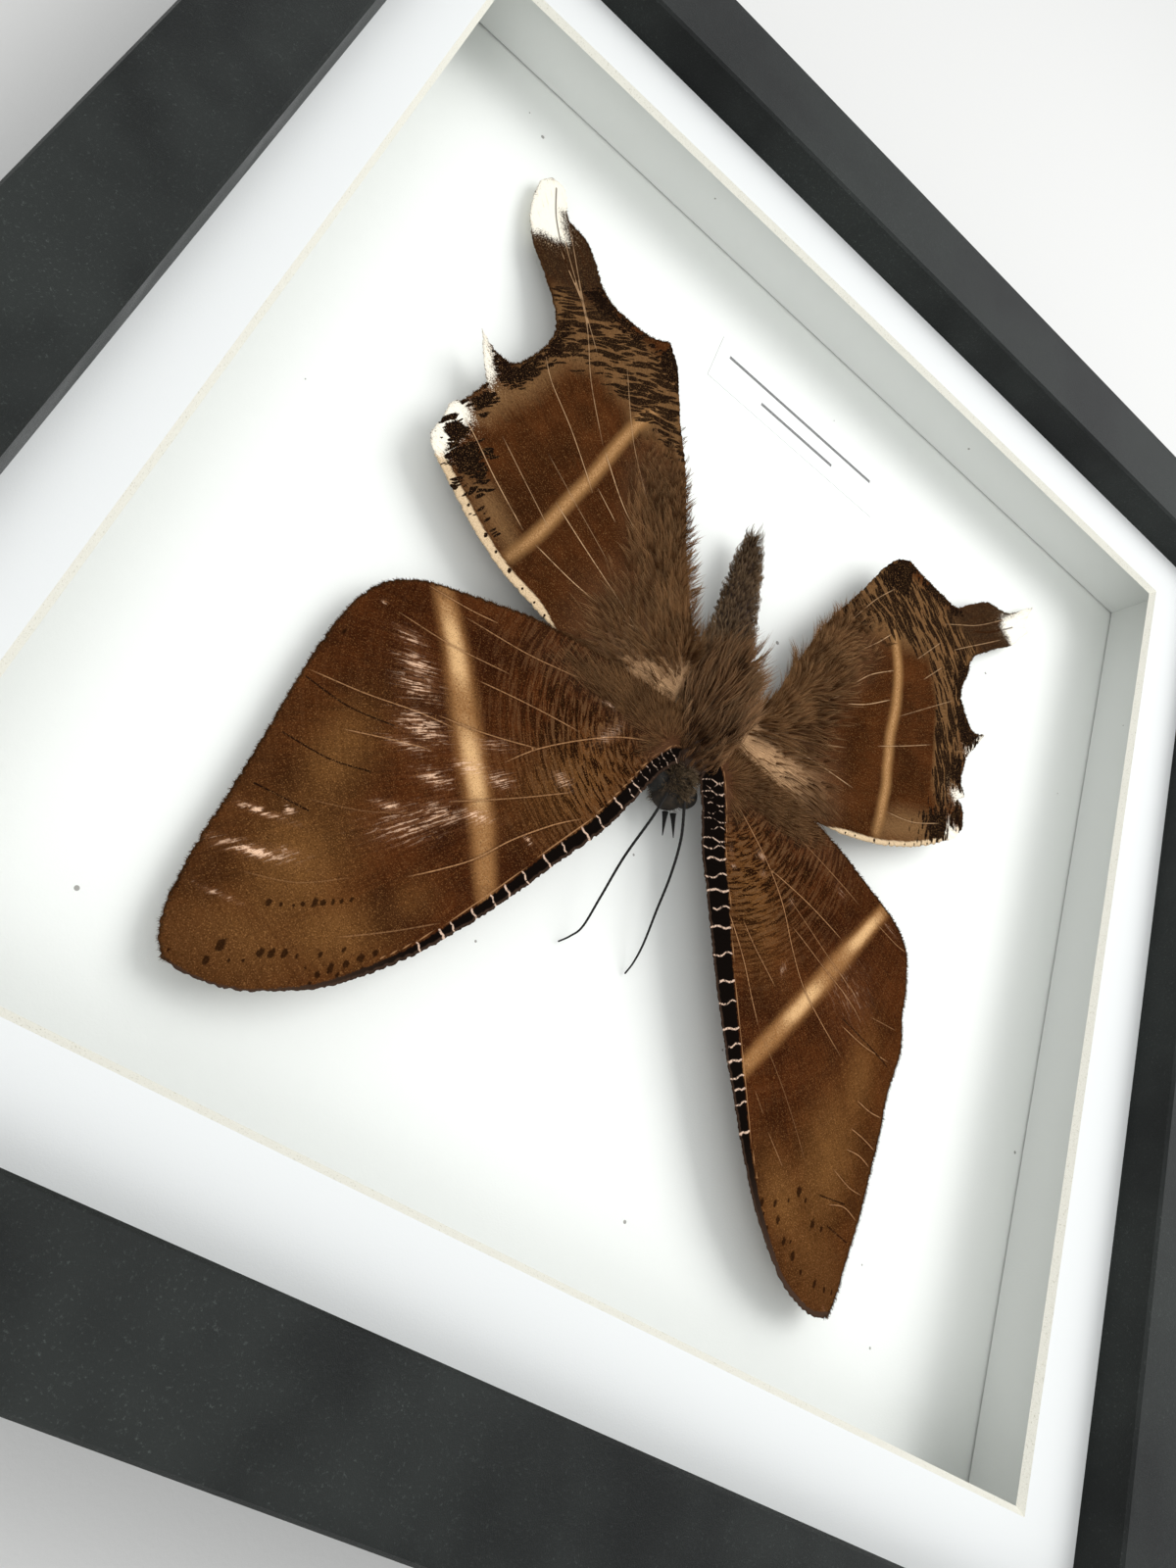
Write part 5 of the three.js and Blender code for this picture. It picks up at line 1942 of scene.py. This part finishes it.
FOREWING_LEFT = Forewing(
    name="forewing_left", side=Side.LEFT, root=(-5.0, 11.0),
    runs=[
        [(1.6, 13.5), (4, 18.4), (6.5, 24.5), (10.2, 31), (15.2, 40), (20.8, 49), (25.5, 55.8),
         (31.6, 64.3), (37.4, 71),
         (45.5, 77.3), (51.5, 79.5), (56, 80), (59.8, 79)],
        [(59.8, 79), (61.2, 74.5), (61.8, 68), (62.6, 60), (62.9, 50), (62.7, 40), (63.6, 31.5), (61.7, 26),
         (60.6, 19.5), (58, 14.6), (52.5, 11.8), (47.5, 10.7)],
        [(47.5, 10.7), (42, 9.6), (36, 8.2), (28, 6.8), (20, 5.8), (8, 4.6), (2.5, 4.8)],
    ],
    band=[(-26, 53), (-30, 46), (-35, 37), (-40, 27.5), (-45, 18.5), (-49, 11.3)],
    band_half=1.7,
    veins=[
        ([(-7, 12), (-14, 16), (-20, 20), (-25, 24.5), (-29.5, 30), (-34, 34.5), (-40, 37.8),
        (-47, 40.8)], 0.9),
        ([(-20, 20), (-30, 21), (-40, 22.5)], 0.9), ([(-28, 26.5), (-36, 28.8), (-45, 31), (-50, 33)], 0.7),
        ([(-26, 22.5), (-38, 27), (-48, 30)], 0.5), ([(-18, 31), (-22, 34), (-28, 37.5)], 0.7),
        ([(-14.5, 31), (-20, 36.5), (-24, 41.5), (-27, 45)], 0.9), ([(-27, 45), (-36, 52), (-45, 60)], 0.3),
        ([(-9.5, 24), (-12, 28), (-14.5, 31.5)], 0.6), ([(-15, 10), (-30, 12.5), (-42, 14.5)], 0.5),
        ([(-45, 36), (-52, 36.3), (-60, 35.6)], 0.8), ([(-53, 63.4), (-57, 62.3), (-61, 63)], 0.8),
        ([(-52, 58), (-57, 59), (-61, 58.8)], 0.7), ([(-54, 53.8), (-58, 53.3), (-61.5, 53.8)], 0.9),
        ([(-54, 50.2), (-58, 50.3), (-62, 50.8)], 0.9), ([(-54, 45.4), (-58, 45.6), (-61.5, 45.1)], 1.0),
        ([(-40, 62.5), (-35, 59)], 0.5), ([(-33, 57), (-30, 54.5)], 0.4), ([(-52, 31), (-60, 29.5)], 0.4),
        ([(-47, 15), (-54, 15.5), (-58, 15.2)], 0.6),
    ],
    dark_veins=[[(-45, 34.8), (-52, 35.4), (-60, 36.4)], [(-54, 66.5), (-60, 67)], [(-50, 63), (-57, 61.8)]],
    dots=[
        (-47.3, 73.6, 0.7), (-50, 75, 0.5), (-54, 75.5, 0.6), (-56.8, 75.5, 0.5), (-59, 75.2, 0.4),
        (-44.5, 72.3, 0.6), (-42, 70, 0.6), (-40, 72, 0.5), (-38, 72, 0.4), (-50, 67.6, 0.7),
        (-52.5, 67.5, 0.5),
        (-45, 64.5, 0.8), (-40.5, 68, 0.5), (-37.5, 69, 0.6), (-35, 67, 0.4), (-41, 74, 0.4),
        (-33.5, 66, 0.5),
        (-47, 65, 0.4), (-43.2, 66.5, 0.35), (-46, 72, 0.35), (-38.5, 70.4, 0.35), (-36, 68.6, 0.3),
    ],
    golds=[
        (-50, 58, 7, 12, -8, 1.0), (-53, 43, 4.5, 9, 0, 0.7), (-42, 67, 8, 5, -30, 0.9),
        (-18, 27, 11, 6, -55, 0.7),
        (-50, 71, 8, 5, 0, 0.6),
    ],
    glints=[
        (-17.5, 19, 1.0, 0.6, 0, 1.2), (-19, 21.5, 0.6, 0.5, 0, 0.8), (-12.8, 23.6, 0.6, 0.4, 0, 1.0),
        (-11.5, 21.5, 1.2, 0.4, -60, 0.6), (-28.7, 34, 0.5, 1.0, 0, 0.9), (-58, 78, 0.8, 0.3, 0, 0.7),
        (-26.5, 22.8, 0.8, 0.8, 0, 0.5), (-36.5, 14.8, 1.5, 0.8, -20, 0.4), (-52, 14, 2, 0.4, -5, 0.6),
        (-45, 30, 6, 5, 0, 0.25),
    ],
    strip_widths=(5.2, 4.6, 3.5, 2.9, 1.9, 1.4, 0.9),
    bars=[13.7, 14.5, 15.4, 16.4, 17.5, 18.6, 19.8, 21, 22.4, 24, 26, 28, 30.3, 33, 35.8, 39.5, 42.7, 46,
          49, 51, 53, 55, 57, 58.5, 61.5],
)

HINDWING_RIGHT = Hindwing(
    name="hindwing_right", side=Side.RIGHT, root=(5.0, 1.0),
    runs=[
        [(7, 4.5), (20, 6.4), (30, 5.6), (37.2, 4), (44.2, 2), (51.8, -2), (57.8, -6), (62.5, -9.5)],
        [(62.5, -9.5), (63.9, -12), (63.6, -16), (63.6, -19.3), (62, -21.6)],
        [(62, -21.6), (61, -24.5), (60.2, -27.3)],
        [(60.2, -27.3), (62.3, -30.5), (65.3, -36.5)],
        [(65.3, -36.5), (61.5, -34.3), (58, -34.2), (56.2, -37)],
        [(56.2, -37), (54.7, -41), (54.2, -46), (55.8, -50), (58.3, -54), (61.1, -58), (65.1, -63.5),
         (68.3, -70.5), (69.4, -78)],
        [(69.4, -78), (67.5, -80.6), (64.5, -80.2), (62.8, -77.5), (61, -74.3), (56.5, -72.3), (53, -68),
         (49.8, -63), (45.5, -60.3), (38.5, -60.3), (34.3, -62.6)],
        [(34.3, -62.6), (31, -59), (28.3, -53.5), (25.5, -47.5), (21.5, -40.5), (18.3, -33), (15, -25),
         (11, -17), (7, -10), (4.5, -4)],
    ],
    band=[(44, -1), (41.5, -8), (39, -18), (37, -26), (35.5, -34), (33.5, -42), (31.5, -47)],
    veins=[
        ([(8, -1.5), (13, -3), (18, -4.4), (23, -4.2)], 0.9), ([(18, -4.4), (26, -8.2), (34, -12),
        (41, -15.5)], 0.9),
        ([(26.5, -4), (33, -4.5), (41, -6)], 0.9), ([(44, -7), (52, -12), (58, -16.5), (61, -18.5)], 0.8),
        ([(24, -20), (30, -24), (37, -31)], 0.9), ([(30, -20), (35.5, -23.5)], 0.7),
        ([(40, -10), (47, -15), (54, -20)], 0.5), ([(36, -22), (44, -30), (51, -36), (54, -40)], 0.7),
        ([(25, -27), (33, -37), (40, -50)], 0.4), ([(38, -32), (45, -42), (50, -52), (56, -62),
        (62, -72)], 0.5),
        ([(46, -48), (52, -56), (58, -68), (61, -73)], 0.5), ([(33, -15), (40, -19)], 0.4),
        ([(28, -12), (38, -18), (46, -23)], 0.3), ([(53, -57), (57, -62), (60, -66)], 0.8),
    ],
    dark_veins=[[(57.5, -62.5), (60.5, -67.5), (64, -73), (66.5, -79)]],
    dots=[
        (34.5, 4.3, 0.35), (37, 3.4, 0.3), (39.8, 2.6, 0.3), (43, 1.2, 0.5), (46.3, -0.3, 0.35),
        (49, -1.8, 0.45),
        (53.7, -4.5, 0.35),
    ],
    blacks=[
        [(58.6, -16), (59.4, -12.4), (63.4, -13), (63.7, -15.4), (62.6, -17.8), (59.4, -18)],
        [(58.5, -21.2), (62.4, -21), (61.3, -24.5), (60.5, -27.2), (57.4, -25.6)],
        [(55.3, -30.8), (57.5, -29.3), (59.8, -30.4), (61.4, -33), (62.4, -34.8), (58, -34.2), (56.4, -37.2),
         (54.8, -37), (54.4, -34)],
        [(52.8, -38.5), (56.2, -37), (55, -41), (54.6, -46), (53.2, -49), (52, -45)],
        [(27, -53), (31, -54.5), (35, -55.5), (36.2, -59), (34.5, -63), (31, -60)],
        [(36, -58.3), (40, -57.6), (44, -56.8), (49, -57.5), (53.5, -60), (50.5, -62.5), (46, -59.6),
         (39, -59.6)],
        [(57.5, -8), (60.5, -10.3), (60.3, -13), (58.5, -16.5), (56, -15.5), (54, -12)],
    ],
    whites=[
        [(60.8, -10.2), (62.8, -9), (64.5, -12), (64.3, -20), (61.8, -21), (60.2, -18.8), (60.6, -16),
         (61, -13)],
        [(60.4, -27.4), (63, -30.3), (66.6, -37.6), (64.2, -36.2), (62.4, -33), (60.6, -30)],
        [(60.3, -69.2), (62.2, -68), (65.2, -67), (66.8, -65.5), (69.2, -70), (70.3, -79), (66, -82),
         (63, -81),
         (62, -77), (63.8, -74.6)],
    ],
    tans=[
        [(60, -18.6), (57, -20.5), (55, -26), (52.5, -31), (51.5, -36), (50, -42), (52.5, -42), (54.5, -36),
         (57, -30), (60, -28)],
        [(36.5, -53.5), (43, -55), (50, -52.5), (53, -56), (50, -58), (44, -57), (38, -57.5)],
        [(31, -40), (35, -40), (37, -43), (33, -46), (28, -45)],
        [(44, -1.4), (51, -4), (57, -8.6), (52, -10.5), (47, -7.5), (43.5, -4)],
    ],
    hatches=[(55.5, -9, 5.5, 4.5, -35, 1.0), (55, -15, 4, 3, 0, 0.7), (48.5, -3.5, 3.5, 1.5, -25, 0.6)],
    golds=[(10, 2.6, 8.5, 4.4, -14, 1.0), (6.5, 0.0, 4.5, 5.5, 0, 1.0)],
    costa_width=1.9,
)

HINDWING_LEFT = Hindwing(
    name="hindwing_left", side=Side.LEFT, root=(-4.0, 1.0),
    runs=[
        [(7, 4.5), (20, 6.2), (31.5, 4.9), (41.5, 2), (49.8, -2), (55.9, -6), (60, -9.5), (62.6, -11.7),
         (64, -15)],
        [(64, -15), (63.4, -17.2), (62.5, -19), (61, -20)],
        [(61, -20), (62.8, -21.6), (60.9, -23.8), (60.6, -27), (60.8, -30)],
        [(60.8, -30), (62.5, -33), (65, -38.5)],
        [(65, -38.5), (62, -36.6), (60, -36.8), (57.5, -38.8), (55.5, -41)],
        [(55.5, -41), (55.2, -44), (56.2, -48), (56.2, -51), (58, -54.5), (61.3, -58), (64.9, -62),
         (70.5, -67.5), (73, -71.5), (75.3, -75)],
        [(75.3, -75), (73.4, -75.6), (73.8, -78), (75, -82.3)],
        [(75, -82.3), (72, -79.5), (68, -75), (64.5, -73.3), (60.5, -72.3), (57.3, -69.5), (53, -65),
         (49, -60.8), (44, -59.8), (37.5, -60.3), (33.5, -61)],
        [(33.5, -61), (30, -58.8), (27, -54), (25.2, -49.5), (22, -42), (19, -35.5), (16.3, -27.5),
         (13.7, -18.5), (11.5, -10.5), (6, -3)],
    ],
    band=[(-42, -1), (-41.5, -10), (-39.5, -20), (-38.5, -30), (-36, -38), (-33.5, -42.5)],
    veins=[
        ([(-10, -1.5), (-16, -3.5), (-22, -4.8), (-34, -5.6)], 0.8), ([(-12, -4), (-22, -8),
        (-30, -12)], 0.4),
        ([(-27.5, -20.5), (-32, -23.5), (-37, -28)], 0.8), ([(-28, -26), (-31, -30), (-36, -34.5)], 0.7),
        ([(-23, -18.5), (-25.5, -21)], 0.4), ([(-26, -32), (-30, -37), (-33, -41.5)], 0.7),
        ([(-37, -17), (-43, -21), (-50, -26)], 0.5), ([(-40, -26), (-47, -33), (-53, -39)], 0.4),
        ([(-44, -38), (-48, -44)], 0.5), ([(-41, -41), (-46, -49)], 0.5),
        ([(-23, -38), (-27, -46), (-31, -52)], 0.5), ([(-50, -50), (-58, -58), (-66, -66)], 0.5),
        ([(-46, -54), (-56, -62), (-66, -72)], 0.5), ([(-43, -6), (-50, -8), (-57, -12)], 0.5),
    ],
    dark_veins=[[(-57, -61), (-63, -66), (-69, -72)]],
    dots=[
        (-35, 3.4, 0.3), (-37.3, 2.7, 0.25), (-42, 0.9, 0.4), (-45.7, -0.7, 0.3), (-49.5, -2.7, 0.3),
        (-51.8, -4.1, 0.3), (-55, -6.2, 0.3),
    ],
    blacks=[
        [(-63.2, -14.2), (-60.6, -13.6), (-59, -16), (-59.8, -19), (-62, -19), (-63, -17.3)],
        [(-62, -22.2), (-58.6, -21.6), (-57, -24), (-57.4, -28.5), (-60, -29.3), (-60.4, -25)],
        [(-60.5, -31.5), (-57.5, -31.5), (-55, -34.5), (-54.8, -38.5), (-56.5, -39.4), (-60, -36.9),
         (-63.4, -37.4),
         (-62, -34)],
        [(-55.6, -40.5), (-53.2, -40), (-52.2, -46), (-53.6, -51), (-55.8, -49), (-55, -44)],
        [(-36.5, -52), (-27, -51), (-28, -57), (-31, -61), (-35.5, -60.8), (-34.5, -56)],
        [(-36, -58.6), (-42, -57.8), (-48, -58.6), (-51, -60.8), (-47, -60), (-40, -60.2)],
        [(-59.8, -9.5), (-56.5, -7.5), (-53, -8.5), (-53.5, -12.5), (-57, -16), (-59.4, -14)],
    ],
    whites=[
        [(-63.6, -10.6), (-60.8, -9.9), (-59.6, -11.5), (-60, -14), (-61.5, -13), (-64.5, -14.5)],
        [(-62, -20.9), (-60, -19.4), (-59, -20.4), (-60.5, -21.8), (-63.4, -22)],
        [(-61, -30.4), (-60.2, -31.2), (-64.4, -38.6), (-65.6, -39.4), (-63.4, -35)],
        [(-70.3, -66.8), (-68.6, -68.8), (-66, -69.6), (-65.8, -71.8), (-69, -75.8), (-71, -79.5),
         (-75.8, -84),
         (-77, -75)],
    ],
    tans=[
        [(-59.5, -19.5), (-57, -22), (-55.4, -30), (-53, -35), (-50.5, -41), (-53, -43), (-54.8, -36),
         (-57, -31),
         (-60, -29.8)],
        [(-36.5, -53.5), (-43, -55), (-50, -53), (-53.5, -56), (-50, -58.3), (-43, -57.5), (-37, -57.5)],
        [(-46, -46), (-52, -43), (-55, -50), (-50, -52)],
        [(-42, 0), (-50, -3), (-57, -8), (-53, -11.5), (-46, -8.5), (-42, -4.5)],
    ],
    hatches=[(-54.5, -10, 5.5, 4, 35, 1.0), (-55, -15.5, 3.5, 3, 0, 0.7), (-58, -20, 2, 4, 0, 0.4)],
    golds=[(-14, 1.6, 10, 4.6, 6, 1.0), (-8, 0, 5, 4.5, 0, 1.0)],
    dash_starts=((20, -36), (34, -39), (44, -43), (49, -36), (53, -18), (58, -12)),
    costa_width=1.2,
    fur_reach=6.0,
)


@dataclass
class Moth:
    """The whole moth: its wings, its body and the hair on them. The hair's widths are in metres."""

    full_density: float = 1e8
    wave_seed: int = 11
    forewings: tuple[Forewing, ...] = (FOREWING_RIGHT, FOREWING_LEFT)
    glints: tuple[float, ...] = (1.0, 0.8)
    hindwings: tuple[Hindwing, ...] = (HINDWING_RIGHT, HINDWING_LEFT)
    hatch_turns: tuple[float, ...] = (57.0, 100.0)
    thin: bpy.types.Object = field(default_factory=lambda: strand_mesh("strand_short", 2, 1.2))
    lock: bpy.types.Object = field(default_factory=lambda: strand_mesh(
        "strand_lock", 4, 7.0, ((0, 0), (2.4, 1.2), (-1.6, 2.2), (0.6, -2.6))))
    tuft: bpy.types.Object = field(default_factory=lambda: strand_mesh(
        "strand_tuft", 4, 5.0, ((0, 0), (2.2, 1.4), (-1.2, -2.2))))

    def coat(self, strand: bpy.types.Object, hair: bpy.types.Material, share: float, width: float,
             scatter: float, seed: int) -> Coat:
        """A coat whose density is a share of the full one."""
        return Coat(strand, hair, self.full_density * share, width, scatter, seed)

    def build_wings(self, tree: HairTree) -> None:
        """Builds the four wings with their scales, fringes and fur.

        Args:
            tree: The hair tree.
        """
        fur = StrandFinish("wing_fur", paint(62, 38, 20), paint(136, 98, 64), paint(184, 146, 104)).build()
        scales = StrandFinish("fringe_scales", paint(52, 33, 18), paint(92, 63, 38), paint(120, 90, 62))
        rim = self.coat(self.thin, scales.build(), 0.7, 0.00009, 0.35, 3)
        for number, (forewing, glint) in enumerate(zip(self.forewings, self.glints)):
            forewing.build(ForewingScales(forewing.name + "_scales", glint=glint).build())
            forewing.dress_hair(tree, rim, self.coat(self.thin, fur, 0.2, 0.00009, 0.25, 11 + number))
        for number, (hindwing, turn) in enumerate(zip(self.hindwings, self.hatch_turns)):
            hindwing.build(HindwingScales(hindwing.name + "_scales", hatch_turn=turn).build())
            hindwing.dress_hair(tree, rim, self.coat(self.tuft, fur, 0.045, 0.0001, 0.11, 21 + number))

    def build_body(self, tree: HairTree) -> None:
        """Builds the thorax, the abdomen and the head with their hair, and the feelers.

        Args:
            tree: The hair tree.
        """
        brown = StrandFinish("brown_fur", paint(34, 20, 11), paint(128, 92, 62), paint(182, 144, 106))
        grey = StrandFinish("abdomen_scales", paint(54, 40, 28), paint(124, 100, 76), paint(156, 132, 104))
        fuzz = StrandFinish("head_fuzz", paint(34, 28, 22), paint(112, 92, 70), paint(142, 122, 96))
        skin = Horn("body_skin", paint(40, 27, 19), paint(62, 44, 31), 0.7).build()
        horn = Horn("head_horn", paint(17, 15, 12), paint(58, 48, 37), 0.55).build()
        eye = Horn("eye_horn", paint(16, 15, 13), paint(42, 39, 34), 0.4, 7.0).build()
        body = MothBody()
        body.build_thorax(tree, skin, self.coat(self.lock, brown.build(), 0.032, 0.00011, 0.13, 31))
        body.build_abdomen(tree, skin, self.coat(self.tuft, grey.build(), 0.052, 0.00011, 0.13, 32))
        body.build_head(tree, horn, eye, self.coat(self.thin, fuzz.build(), 0.35, 0.0001, 0.4, 33))
        body.build_feelers(Horn("feeler_horn", paint(14, 12, 11), paint(30, 26, 23), 0.4, 12.0).build())

    def build(self) -> None:
        """Builds the moth, and removes the strands that its coats were grown with."""
        noise.seed_set(self.wave_seed)
        tree = HairTree()
        self.build_wings(tree)
        self.build_body(tree)
        for strand in (self.thin, self.lock, self.tuft):
            bpy.data.objects.remove(strand)


def main() -> None:
    """Builds the looks round the frame and sets up the studio."""
    logging.basicConfig(level=logging.INFO, format="%(message)s")
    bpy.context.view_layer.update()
    FrameLooks(frame["nodes"]).paint_all()
    Moth().build()
    studio = Studio()
    studio.lay_table()
    studio.light()
    studio.aim()
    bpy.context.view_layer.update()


if __name__ == "__main__":
    main()
